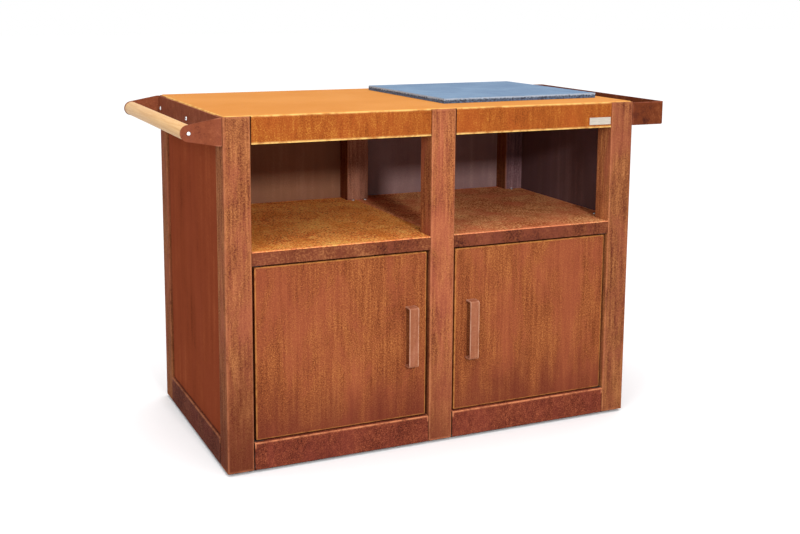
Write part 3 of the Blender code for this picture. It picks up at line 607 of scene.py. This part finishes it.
# Panels: smoother, with inward faces greyer than outside as painted light and shade of the bays
panelLook = {
    "bright": (173, 92, 58),
    "middle": (139, 66, 41),
    "dark": (95, 42, 26),
    "patch": (144, 69, 46),
    "patchAmount": 0.4,
    "stretch": upright,
    "streakScale": 40.0,
    "streakAmount": 0.4,
    "mottleScale": 3.0,
    "mottleAmount": 0.6,
    "grainScale": 320.0,
    "grainAmount": 0.35,
    "speckleAmount": 0.12,
    "relief": 0.2,
    "rustStep": (0.5, 0.2, 0.4),
    "shine": 0.0,
}
# Inward faces: colours that stand in for the light and shade inside the bays
leftInsidePaintedLight = {
    "bright": (166, 120, 94),
    "middle": (137, 95, 71),
    "dark": (103, 66, 53),
    "patch": (128, 87, 69),
}
rightInsidePaintedLight = {
    "bright": (170, 139, 134),
    "middle": (135, 106, 103),
    "dark": (104, 79, 82),
    "patch": (127, 102, 106),
}
sideInsidePaintedShade = {
    "bright": (128, 98, 94),
    "middle": (98, 73, 71),
    "dark": (71, 53, 54),
    "patch": (104, 78, 83),
}
panelPaintedInsides = {
    "side_panel_left": (leftInsidePaintedLight, (1.0, 0.0, 0.0)),
    "side_panel_right": (sideInsidePaintedShade, (-1.0, 0.0, 0.0)),
    "back_panel_left": (leftInsidePaintedLight, (0.0, -1.0, 0.0)),
    "back_panel_right": (rightInsidePaintedLight, (0.0, -1.0, 0.0)),
}
for index, (name, (paintedInside, inward)) in enumerate(panelPaintedInsides.items()):
    rust(name, {**panelLook, "paintedInside": paintedInside, "inward": inward}, index)

# Doors: orange-brown with faint upright streaks, redder toward the bottom
doorLook = {
    "bright": (181, 112, 62),
    "middle": (139, 74, 41),
    "dark": (92, 42, 24),
    "patch": (151, 76, 52),
    "patchAmount": 0.6,
    "stretch": (1.0, 1.0, 0.05),
    "streakScale": 150.0,
    "streakAmount": 0.55,
    "mottleScale": 5.0,
    "mottleAmount": 0.5,
    "grainScale": 320.0,
    "grainAmount": 1.6,
    "speckleAmount": 0.35,
    # Pale door edges: wear and a painted highlight
    "edgeColour": (221, 151, 77),
    "edgeWidth": 0.005,
    "edgeAmount": 0.75,
    "relief": 0.4,
    "rustStep": (0.53, 0.3, 0.0),
    "stain": {"top": 0.25, "bottom": 0.06, "raggedness": 0.3, "amount": 0.75, "colour": (106, 47, 34)},
}
for index, name in enumerate(("door_left", "door_right")):
    rust(name, doorLook, index)

# Door handles: paler, with bright edges that are partly wear and partly a painted highlight
doorHandleLook = {
    "bright": (190, 137, 104),
    "middle": (150, 90, 63),
    "dark": (102, 54, 37),
    "patch": (175, 114, 93),
    "patchAmount": 0.5,
    "stretch": upright,
    "streakScale": 120.0,
    "streakAmount": 0.4,
    "mottleScale": 20.0,
    "mottleAmount": 0.5,
    "grainScale": 340.0,
    "grainAmount": 0.5,
    "speckleAmount": 0.2,
    "edgeColour": (243, 200, 171),
    "edgeWidth": 0.0035,
    "edgeAmount": 0.4,
    "relief": 0.35,
}
for name in ("door_handle_left", "door_handle_right"):
    rust(name, doorHandleLook)

# Bracket of the push handle: red-brown, softly mottled
bracketLook = {
    "bright": (164, 98, 65),
    "middle": (127, 66, 43),
    "dark": (86, 41, 29),
    "patch": (137, 74, 56),
    "patchAmount": 0.4,
    "stretch": evenly,
    "streakScale": 60.0,
    "streakAmount": 0.4,
    "mottleScale": 10.0,
    "mottleAmount": 0.6,
    "grainScale": 320.0,
    "grainAmount": 0.5,
    "speckleAmount": 0.2,
    "edgeColour": (197, 127, 99),
    "edgeWidth": 0.004,
    "edgeAmount": 0.5,
    "relief": 0.35,
}
rust("handle_bracket", bracketLook)

# The tray: rust like the bracket's, darker and more mottled
trayLook = {
    **bracketLook,
    "bright": (145, 81, 48),
    "middle": (105, 51, 28),
    "dark": (66, 30, 23),
    "patch": (114, 55, 33),
    "streakAmount": 0.5,
    "mottleScale": 8.0,
    "mottleAmount": 0.7,
    "speckleAmount": 0.25,
    "edgeColour": (176, 102, 79),
}
rust("side_tray", trayLook)
print("stage: steel")

# Plain metals, rubber and plastic
plainShape = {
    "grain": {"detail": 4.0, "roughness": 0.6},
    "limits": (0.3, 0.7),
    "reliefHeight": 0.0003,
}


def makePlain(name, look):
    material, tree, shader, coordinates = newMaterial(name)
    stretched = vectorNode(tree, "MULTIPLY", coordinates, look["stretch"])
    grain = noiseNode(tree, stretched, plainShape["grain"], "grain", look["grainScale"])
    spread = rangeNode(tree, grain, plainShape["limits"])
    roughness = rangeNode(tree, grain, plainShape["limits"], look["smooth"], look["rough"])
    colour = mixColours(tree, spread, fromSrgb(*look["dark"]), fromSrgb(*look["bright"]), "tone")
    tree.links.new(colour, shader.inputs["Base Color"])
    tree.links.new(roughness, shader.inputs["Roughness"])
    shader.inputs["Metallic"].default_value = look["metallic"]
    addBump(tree, shader, grain, look["relief"], plainShape["reliefHeight"])
    return material


plainLooks = {
    "bright stainless": {
        "dark": (196, 196, 198), "bright": (236, 236, 238), "stretch": evenly, "grainScale": 900.0,
        "smooth": 0.18, "rough": 0.34, "metallic": 1.0, "relief": 0.08,
    },
    "dull zinc": {
        "dark": (120, 122, 126), "bright": (168, 170, 172), "stretch": evenly, "grainScale": 220.0,
        "smooth": 0.35, "rough": 0.55, "metallic": 1.0, "relief": 0.15,
    },
    "wheel rubber": {
        "dark": (34, 34, 36), "bright": (58, 58, 60), "stretch": evenly, "grainScale": 300.0,
        "smooth": 0.65, "rough": 0.85, "metallic": 0.0, "relief": 0.3,
    },
    "wheel hub": {
        "dark": (120, 122, 126), "bright": (150, 152, 156), "stretch": evenly, "grainScale": 400.0,
        "smooth": 0.4, "rough": 0.6, "metallic": 0.0, "relief": 0.1,
    },
    "catch plastic": {
        "dark": (14, 14, 15), "bright": (24, 24, 26), "stretch": evenly, "grainScale": 700.0,
        "smooth": 0.4, "rough": 0.55, "metallic": 0.0, "relief": 0.15,
    },
    "dark pivot steel": {
        "dark": (40, 30, 26), "bright": (66, 48, 40), "stretch": evenly, "grainScale": 260.0,
        "smooth": 0.5, "rough": 0.7, "metallic": 0.3, "relief": 0.15,
    },
    "blank plate metal": {
        "dark": (171, 162, 150), "bright": (201, 191, 177), "stretch": (0.05, 1.0, 1.0),
        "grainScale": 900.0, "smooth": 0.4, "rough": 0.55, "metallic": 0.1, "relief": 0.1,
    },
}
plainMaterials = {name: makePlain(name, look) for name, look in plainLooks.items()}

# The material of each node, by a part of its name
plainParts = {
    "caster_fork": "dull zinc",
    "caster_plate": "dull zinc",
    "caster_wheel": "wheel rubber",
    "door_pivot": "dark pivot steel",
    "_screw_": "bright stainless",
    "_bolt_": "bright stainless",
    "magnet_catch": "catch plastic",
    "blank_plate": "blank plate metal",
}
for name in nodes:
    for part, materialName in plainParts.items():
        if part in name:
            paint(name, plainMaterials[materialName])
print("stage: plain materials")

# Wooden rod of the push handle
rodLook = {
    "pale": (224, 178, 117),
    "middle": (208, 156, 92),
    "dark": (169, 116, 64),
    "grainStretch": (1.0, 0.035, 1.0),
    "growth": {"scale": 120.0, "detail": 4.0, "roughness": 0.6, "distortion": 1.2, "limits": (0.32, 0.68)},
    "pores": {"scale": 620.0, "detail": 3.0, "roughness": 0.6, "limits": (0.6, 0.75)},
    "poreAmount": 0.55,
    "roughness": 0.5,
    "relief": 0.15,
    "reliefHeight": 0.0002,
}


def makeWood(look):
    material, tree, shader, coordinates = newMaterial("pale wood")
    stretched = vectorNode(tree, "MULTIPLY", coordinates, look["grainStretch"], "grain along the rod")
    pores = noiseNode(tree, stretched, look["pores"], "pores")
    growth = noiseMask(tree, stretched, look["growth"], "growth lines")
    openPores = rangeNode(tree, pores, look["pores"]["limits"], 0.0, look["poreAmount"], "open pores")
    colour = mixColours(tree, growth, fromSrgb(*look["pale"]), fromSrgb(*look["middle"]), "growth on")
    colour = mixColours(tree, openPores, colour, fromSrgb(*look["dark"]), "pores on")
    tree.links.new(colour, shader.inputs["Base Color"])
    shader.inputs["Roughness"].default_value = look["roughness"]
    addBump(tree, shader, pores, look["relief"], look["reliefHeight"])
    return material


woodMaterial = makeWood(rodLook)

# Stone slab with split edges. The rim's values are depths below the top.
slabLook = {
    "pale": (140, 166, 190),
    "middle": (102, 131, 161),
    "dark": (82, 112, 145),
    "clouds": {"scale": 7.0, "detail": 6.0, "roughness": 0.6, "distortion": 0.6, "limits": (0.32, 0.68)},
    "grain": {"scale": 320.0, "detail": 4.0, "roughness": 0.65, "limits": (0.5, 0.75)},
    "grainAmount": 0.5,
    "chips": {"scale": 210.0, "detail": 5.0, "roughness": 0.7, "limits": (0.42, 0.58)},
    "edgeFacing": (0.8, 0.4),
    "edgePale": (80, 99, 124),
    "edgeDark": (35, 44, 65),
    "rim": (165, 188, 212),
    "rimAmount": 0.9,
    "rimStart": 0.00675,
    "rimFull": 0.00315,
    "rimRaggedness": 0.014,
    "roughness": 0.7,
    "relief": 0.35,
    "reliefHeight": 0.0008,
}


def makeStone(look, top):
    material, tree, shader, coordinates = newMaterial("blue stone")
    grain = noiseNode(tree, coordinates, look["grain"], "grain")
    chips = noiseNode(tree, coordinates, look["chips"], "chips")
    clouds = noiseMask(tree, coordinates, look["clouds"], "clouds")
    paleGrain = rangeNode(tree, grain, look["grain"]["limits"], 0.0, look["grainAmount"], "pale grain")
    colour = mixColours(tree, clouds, fromSrgb(*look["middle"]), fromSrgb(*look["dark"]), "clouds on")
    colour = mixColours(tree, paleGrain, colour, fromSrgb(*look["pale"]), "grain on")
    chipped = rangeNode(tree, chips, look["chips"]["limits"], label="chipped")
    edge = mixColours(tree, chipped, fromSrgb(*look["edgeDark"]), fromSrgb(*look["edgePale"]), "chips on")
    shift = mathNode(tree, "SUBTRACT", chips, noiseMiddle)
    ragged = mathNode(tree, "MULTIPLY", shift, look["rimRaggedness"])
    level = mathNode(tree, "ADD", upwardPart(tree, coordinates), ragged)
    limits = (top - look["rimStart"], top - look["rimFull"])
    rim = rangeNode(tree, level, limits, 0.0, look["rimAmount"], "pale rim")
    edge = mixColours(tree, rim, edge, fromSrgb(*look["rim"]), "rim on")
    up = upwardPart(tree, surfaceNormal(tree))
    sideways = rangeNode(tree, up, look["edgeFacing"], label="split edge")
    colour = mixColours(tree, sideways, colour, edge, "edge on")
    tree.links.new(colour, shader.inputs["Base Color"])
    shader.inputs["Roughness"].default_value = look["roughness"]
    addBump(tree, shader, grain, look["relief"], look["reliefHeight"])
    return material


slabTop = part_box("stone_slab")[1][2]
stoneMaterial = makeStone(slabLook, slabTop)
print("stage: wood and stone")

# Pieces with finer shapes than the frame's own


def makeObject(name, builder, materials=(), sharpAngle=None):
    mesh = bpy.data.meshes.new(name)
    bmesh.ops.recalc_face_normals(builder, faces=builder.faces)
    builder.to_mesh(mesh)
    builder.free()
    for material in materials:
        mesh.materials.append(material)
    if sharpAngle is not None:
        mesh.shade_smooth()
        mesh.set_sharp_from_angle(angle=math.radians(sharpAngle))
    return addObject(name, mesh)


# A round shape turned about an axis. profile lists (distance along the axis, radius).
def lathe(profile, centre, axis, segments):
    builder = bmesh.new()
    turn = Vector((0, 0, 1)).rotation_difference(Vector(axis)).to_matrix().to_4x4()
    place = Matrix.Translation(centre) @ turn
    rings = []
    for along, radius in profile:
        ring = []
        for step in range(segments):
            angle = 2 * math.pi * step / segments
            point = Vector((radius * math.cos(angle), radius * math.sin(angle), along))
            ring.append(builder.verts.new(place @ point))
        rings.append(ring)
    return builder, rings


def joinRings(builder, rings, closed=False):
    pairs = list(zip(rings, rings[1:]))
    if closed:
        pairs.append((rings[-1], rings[0]))
    for lower, upper in pairs:
        for step in range(len(lower)):
            after = (step + 1) % len(lower)
            builder.faces.new([lower[step], lower[after], upper[after], upper[step]])


def closeEnds(builder, rings):
    builder.faces.new(rings[0])
    builder.faces.new(rings[-1])


def middle(low, high):
    return Vector((low[k] + high[k]) / 2 for k in range(3))


# Rod of the push handle: round, with eased ends
rodShape = {"segments": 64, "endRadius": 0.002, "endSteps": 3, "sharpAngle": 50}


def makeRod(shape):
    low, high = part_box("handle_rod")
    half = (high[1] - low[1]) / 2
    radius = (high[2] - low[2]) / 2
    ease = shape["endRadius"]
    profile = [(-half, radius - ease)]
    for step in range(1, shape["endSteps"] + 1):
        angle = step * math.pi / (2 * shape["endSteps"])
        along = -half + ease * (1 - math.cos(angle))
        profile.append((along, radius - ease * (1 - math.sin(angle))))
    profile += [(-along, size) for along, size in reversed(profile)]
    builder, rings = lathe(profile, middle(low, high), (0, 1, 0), shape["segments"])
    joinRings(builder, rings)
    closeEnds(builder, rings)
    rod = makeObject("handle_rod_turned", builder, [woodMaterial], shape["sharpAngle"])
    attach(rod, "cart")
    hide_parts("handle_rod")


makeRod(rodShape)

# Slab with a flat top and split, chipped edges. Each height, as a share, has its depth of split.
slabShape = {
    "turnDegrees": 2.0,
    "step": 0.003,
    "heights": (0.0, 0.22, 0.45, 0.68, 0.86, 1.0),
    "depths": (0.6, 1.0, 0.9, 0.8, 0.55, 0.5),
    "splitDepth": 0.0036,
    "topChip": 0.0022,
    "rim": 0.0016,
    "roughScale": 130.0,
    "roughShare": 0.6,
    "broadScale": 26.0,
    "broadShare": 0.4,
}


# Points along a rectangle, each with its direction towards the inside
def rectangleOutline(width, depth, spacing):
    corners = [
        Vector((-width / 2, -depth / 2)), Vector((width / 2, -depth / 2)),
        Vector((width / 2, depth / 2)), Vector((-width / 2, depth / 2)),
    ]
    outline = []
    for index, corner in enumerate(corners):
        following = corners[(index + 1) % len(corners)]
        count = round((following - corner).length / spacing)
        along = (following - corner).normalized()
        inward = Vector((-along.y, along.x))
        diagonal = (inward - Vector((-inward.y, inward.x))).normalized()
        for step in range(count):
            point = corner.lerp(following, step / count)
            outline.append((point, inward if step else diagonal))
    return outline


# Noise goes from -1 to 1, and this from 0 to 1
def noiseShare(point, scale):
    return noise.noise(point * scale) * 0.5 + 0.5


# The rings of the slab from its bottom to its top, as (flat point, height above the bottom)
def slabRings(shape, outline, thickness):
    rings = []
    for share, amount in zip(shape["heights"], shape["depths"]):
        ring = []
        for point, inward in outline:
            place = Vector((point.x, point.y, share * thickness))
            rough = noiseShare(place, shape["roughScale"])
            broad = noiseShare(place, shape["broadScale"])
            split = shape["roughShare"] * rough + shape["broadShare"] * broad
            offset = shape["splitDepth"] * amount * split
            drop = shape["topChip"] * rough * broad if share == 1.0 else 0.0
            ring.append((point + inward * offset, share * thickness - drop))
        rings.append(ring)
    rim = []
    for (edge, _), (_, inward) in zip(rings[-1], outline):
        rim.append((edge + inward * shape["rim"], thickness))
    rings.append(rim)
    return rings


def makeSlab(shape):
    low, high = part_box("stone_slab")
    turn = math.radians(shape["turnDegrees"])
    cosine = math.cos(turn)
    sine = math.sin(turn)
    # The box goes round the turned slab, so the slab's own width and depth are worked out from it
    spread = cosine ** 2 - sine ** 2
    width = ((high[0] - low[0]) * cosine - (high[1] - low[1]) * sine) / spread
    depth = ((high[1] - low[1]) * cosine - (high[0] - low[0]) * sine) / spread
    centre = middle(low, high)
    turned = Matrix.Rotation(turn, 2)
    builder = bmesh.new()
    placed = []
    for ring in slabRings(shape, rectangleOutline(width, depth, shape["step"]), high[2] - low[2]):
        row = []
        for point, level in ring:
            flat = turned @ point
            row.append(builder.verts.new((centre.x + flat.x, centre.y + flat.y, low[2] + level)))
        placed.append(row)
    joinRings(builder, placed)
    closeEnds(builder, placed)
    slab = makeObject("stone_slab_split", builder, [stoneMaterial])
    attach(slab, "cart")
    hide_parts("stone_slab")


makeSlab(slabShape)

# Wheels with a rubber tyre on a grey hub
wheelShape = {
    "segments": 56,
    "boreRadius": 0.0045,
    "hubRadius": 0.0095,
    "hubEase": 0.001,
    "discRadius": 0.0190,
    "discDepth": 0.0035,
    "discEase": 0.0015,
    "tyreRadius": 0.0212,
    "tyreInset": 0.0008,
    "wallInset": 0.0004,
    "wallShare": 1.3,
    "shoulder": 0.0035,
    "shoulderSteps": 5,
    "centreLine": 0.0006,
    "sharpAngle": 35,
}


# Half of a wheel's section, from the bore outwards, as (distance along the axle, radius)
def wheelSide(shape, half, radius):
    disc = half - shape["discDepth"]
    wall = half - shape["wallInset"]
    shoulder = shape["shoulder"]
    side = [
        (half, shape["boreRadius"]),
        (half, shape["hubRadius"] - shape["hubEase"]),
        (half - shape["hubEase"], shape["hubRadius"]),
        (disc, shape["hubRadius"] + shape["discEase"]),
        (disc, shape["discRadius"] - shape["discEase"]),
        (half - shape["discEase"], shape["discRadius"]),
        (half - shape["tyreInset"], shape["tyreRadius"]),
        (wall, radius - shoulder * shape["wallShare"]),
    ]
    for step in range(1, shape["shoulderSteps"] + 1):
        angle = step * math.pi / (2 * shape["shoulderSteps"])
        along = wall - shoulder * (1 - math.cos(angle))
        side.append((along, radius - shoulder * (1 - math.sin(angle))))
    side.append((shape["centreLine"] * 2, radius))
    side.append((shape["centreLine"], radius - shape["centreLine"]))
    return side


def makeWheel(corner, shape):
    nodeName = f"caster_wheel_{corner}"
    low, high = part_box(nodeName)
    centre = middle(low, high)
    side = wheelSide(shape, (high[1] - low[1]) / 2, (high[2] - low[2]) / 2)
    profile = side + [(-along, size) for along, size in reversed(side)]
    builder, rings = lathe(profile, centre, (0, 1, 0), shape["segments"])
    joinRings(builder, rings, closed=True)
    limit = (shape["discRadius"] + shape["tyreRadius"]) / 2
    for face in builder.faces:
        away = face.calc_center_median() - centre
        face.material_index = 0 if Vector((away.x, away.z)).length > limit else 1
    materials = [plainMaterials["wheel rubber"], plainMaterials["wheel hub"]]
    wheel = makeObject(f"wheel_turned_{corner}", builder, materials, shape["sharpAngle"])
    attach(wheel, f"wheel_{corner}")
    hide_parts(nodeName)


for corner in ("front_left", "front_right", "rear_left", "rear_right"):
    makeWheel(corner, wheelShape)
print("stage: rod, slab and wheels")

# Screws and bolts: one domed head with a six-sided socket, placed by Geometry Nodes.
# The shares are of the head's radius, and socketDepth is a share of the head's height.
screwShape = {
    "segments": 24,
    "rim": 0.0002,
    "domeSteps": 6,
    "flatShare": 0.42,
    "roundShare": 0.58,
    "socketEdgeShare": 0.45,
    "socketDepth": 0.6,
    "sharpAngle": 38,
    "mostSpin": 1.05,
}
boltSizes = {"headRadius": 0.0054, "headHeight": 0.0035, "shankRadius": 0.0030, "socket": 0.0019}
shelfScrewSizes = {"headRadius": 0.0058, "headHeight": 0.0030, "shankRadius": 0.0020, "socket": 0.0018}

# A set's name is the start of its nodes' names, with an s. outward gives the way that a head faces,
# by the end of its node's name, or "" for every head of the set.
screwSets = {
    "shelf_screws": {**shelfScrewSizes, "outward": {"": (0, 0, 1)}},
    "rod_screws": {**boltSizes, "outward": {"front": (0, -1, 0), "rear": (0, 1, 0)}},
    "handle_bolts": {**boltSizes, "outward": {"": (-1, 0, 0)}},
    "tray_bolts": {**boltSizes, "outward": {"": (1, 0, 0)}},
}


# One screw along +Z, with the top of its head at the origin
def makeScrew(name, sizes, shape, shankLength):
    head = sizes["headHeight"]
    radius = sizes["headRadius"]
    dome = head - shape["rim"]
    rows = [
        ("round", -head - shankLength, sizes["shankRadius"]),
        ("round", -head, sizes["shankRadius"]),
        ("round", -head, radius),
    ]
    for step in range(shape["domeSteps"]):
        angle = step * math.pi / (2 * shape["domeSteps"])
        reach = radius * (shape["flatShare"] + shape["roundShare"] * math.cos(angle))
        rows.append(("round", dome * math.sin(angle) - dome, reach))
    rows.append(("round", 0.0, radius * shape["socketEdgeShare"]))
    rows.append(("six", 0.0, sizes["socket"]))
    rows.append(("six", -head * shape["socketDepth"], sizes["socket"]))
    builder = bmesh.new()
    rings = []
    for outline, level, size in rows:
        ring = []
        for step in range(shape["segments"]):
            angle = 2 * math.pi * step / shape["segments"]
            reach = size
            if outline == "six":
                within = (angle + math.pi / 6) % (math.pi / 3) - math.pi / 6
                reach = size / math.cos(within)
            ring.append(builder.verts.new((reach * math.cos(angle), reach * math.sin(angle), level)))
        rings.append(ring)
    joinRings(builder, rings)
    closeEnds(builder, rings)
    return makeObject(name, builder, sharpAngle=shape["sharpAngle"])


def makePlacingGroup():
    inputs = {
        "Geometry": "Geometry",
        "Screw": "Object",
        "Material": "Material",
        "Most Spin": "Float",
        "Spin Seed": "Int",
    }
    outputs = {"Geometry": "Geometry"}
    group, given, result = newGroup("place screws", inputs, outputs, "GeometryNodeTree")
    outward = addNode(
        group, "GeometryNodeInputNamedAttribute", "outward", {"Name": "outward"}, data_type="FLOAT_VECTOR"
    ).outputs["Attribute"]
    aligned = addNode(
        group, "FunctionNodeAlignRotationToVector", "head outward", {"Vector": outward}, axis="Z"
    ).outputs[0]
    spin = addNode(
        group, "FunctionNodeRandomValue", "turn of each socket",
        {"Max": given["Most Spin"], "Seed": given["Spin Seed"]}, data_type="FLOAT",
    )
    value = [output for output in spin.outputs if output.enabled][0]
    angle = addNode(group, "ShaderNodeCombineXYZ", "", {"Z": value}).outputs[0]
    turned = addNode(
        group, "FunctionNodeRotateRotation", "", {"Rotation": aligned, "Rotate By": angle},
        rotation_space="LOCAL",
    ).outputs[0]
    source = addNode(group, "GeometryNodeObjectInfo", "", {"Object": given["Screw"]}).outputs["Geometry"]
    placed = addNode(
        group, "GeometryNodeInstanceOnPoints", "",
        {"Points": given["Geometry"], "Instance": source, "Rotation": turned},
    ).outputs[0]
    real = addNode(group, "GeometryNodeRealizeInstances", "", {"Geometry": placed}).outputs[0]
    painted = addNode(
        group, "GeometryNodeSetMaterial", "", {"Geometry": real, "Material": given["Material"]}
    ).outputs[0]
    group.links.new(painted, result["Geometry"])
    return group


placingGroup = makePlacingGroup()


# Points at the tops of the heads, with the way that each one faces, and the length of a shank
def makeScrewPoints(name, nodeNames, settings):
    points = []
    directions = []
    for nodeName in nodeNames:
        low, high = (Vector(corner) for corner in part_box(nodeName))
        ending = nodeName.rsplit("_", 1)[-1]
        outward = Vector(settings["outward"].get(ending, settings["outward"].get("")))
        reach = Vector(abs(value) for value in outward).dot(high - low)
        shankLength = reach - settings["headHeight"]
        points.append((low + high) / 2 + outward * reach / 2)
        directions.append(outward)
    mesh = bpy.data.meshes.new(name)
    mesh.from_pydata(points, [], [])
    attribute = mesh.attributes.new("outward", "FLOAT_VECTOR", "POINT")
    for index, direction in enumerate(directions):
        attribute.data[index].vector = direction
    return addObject(name, mesh), shankLength


def placeScrews(name, settings, shape, seed):
    nodeNames = [nodeName for nodeName in sorted(nodes) if nodeName.startswith(name[:-1])]
    screws, shankLength = makeScrewPoints(name, nodeNames, settings)
    source = makeScrew(f"{name} source", settings, shape, shankLength)
    modifier = screws.modifiers.new("Placed", "NODES")
    modifier.node_group = placingGroup
    values = {
        "Screw": source,
        "Material": plainMaterials["bright stainless"],
        "Most Spin": shape["mostSpin"],
        "Spin Seed": seed,
    }
    for item in placingGroup.interface.items_tree:
        if item.in_out == "INPUT" and item.name in values:
            modifier[item.identifier] = values[item.name]
    bpy.context.view_layer.update()
    solved = screws.evaluated_get(bpy.context.evaluated_depsgraph_get())
    finished = bpy.data.meshes.new_from_object(solved)
    screws.modifiers.remove(modifier)
    screws.data = finished
    bpy.data.objects.remove(source)
    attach(screws, "cart")
    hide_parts(*nodeNames)


for seed, (name, settings) in enumerate(screwSets.items()):
    placeScrews(name, settings, screwShape, seed)
print("stage: screws")

# Pale floor, white surroundings and soft studio light

stageSettings = {
    "floorSize": 60.0,
    "floorColour": (251, 251, 252),
    "floorBounce": (188, 187, 186),
    "floorRoughness": 0.9,
    "skyStrength": 0.62,
    "backgroundStrength": 1.0,
}
white = (1.0, 1.0, 1.0, 1.0)


# 1 where a surface is seen by the camera or in a reflection, and 0 where it only lights others
def shownRays(tree):
    path = addNode(tree, "ShaderNodeLightPath")
    shown = mathNode(tree, "ADD", path.outputs["Is Camera Ray"], path.outputs["Is Glossy Ray"])
    return mathNode(tree, "ADD", shown, path.outputs["Is Transmission Ray"], "shown", clamp=True)


def makeFloor(settings):
    half = settings["floorSize"] / 2
    mesh = bpy.data.meshes.new("floor")
    corners = [(-half, -half, 0), (half, -half, 0), (half, half, 0), (-half, half, 0)]
    mesh.from_pydata(corners, [], [(0, 1, 2, 3)])
    floor = addObject("floor", mesh)
    material, tree, shader = newMaterial("pale floor")[:3]
    bounced = fromSrgb(*settings["floorBounce"])
    seen = fromSrgb(*settings["floorColour"])
    colour = mixColours(tree, shownRays(tree), bounced, seen, "white when seen")
    tree.links.new(colour, shader.inputs["Base Color"])
    shader.inputs["Roughness"].default_value = settings["floorRoughness"]
    shader.inputs["Specular IOR Level"].default_value = 0.0
    mesh.materials.append(material)


def makeSurroundings(settings):
    world = bpy.data.worlds.new("white room")
    bpy.context.scene.world = world
    world.use_nodes = True
    tree = world.node_tree
    tree.nodes.clear()
    seen = addNode(
        tree, "ShaderNodeBackground", "white backdrop",
        {"Color": white, "Strength": settings["backgroundStrength"]},
    )
    lighting = addNode(
        tree, "ShaderNodeBackground", "soft light", {"Color": white, "Strength": settings["skyStrength"]}
    )
    mixed = addNode(tree, "ShaderNodeMixShader")
    tree.links.new(shownRays(tree), mixed.inputs[0])
    tree.links.new(lighting.outputs[0], mixed.inputs[1])
    tree.links.new(seen.outputs[0], mixed.inputs[2])
    output = addNode(tree, "ShaderNodeOutputWorld")
    tree.links.new(mixed.outputs[0], output.inputs["Surface"])


lightSettings = {
    "key": {"location": (-0.5, -4.3, 2.1), "target": (0.0, 0.0, 0.7), "size": 0.35, "power": 110.0},
    "fill": {"location": (-3.2, -3.0, 2.6), "target": (0.0, 0.0, 0.6), "size": 1.2, "power": 36.0},
}
overheadSettings = {"power": 1.6, "softness": 70.0}


def makeLight(name, settings):
    data = bpy.data.lights.new(name, "AREA")
    data.shape = "SQUARE"
    data.size = settings["size"]
    data.energy = settings["power"]
    light = addObject(name, data)
    light.location = settings["location"]
    aim = Vector(settings["target"]) - Vector(settings["location"])
    light.rotation_euler = aim.to_track_quat("-Z", "Y").to_euler()


# Soft light straight down, as from a wide ceiling panel
def makeOverhead(settings):
    data = bpy.data.lights.new("overhead light", "SUN")
    data.energy = settings["power"]
    data.angle = math.radians(settings["softness"])
    addObject("overhead light", data)


makeFloor(stageSettings)
makeSurroundings(stageSettings)
for name, settings in lightSettings.items():
    makeLight(f"{name} light", settings)
makeOverhead(overheadSettings)
bpy.context.scene.view_settings.view_transform = "Standard"
print("stage: floor and light")
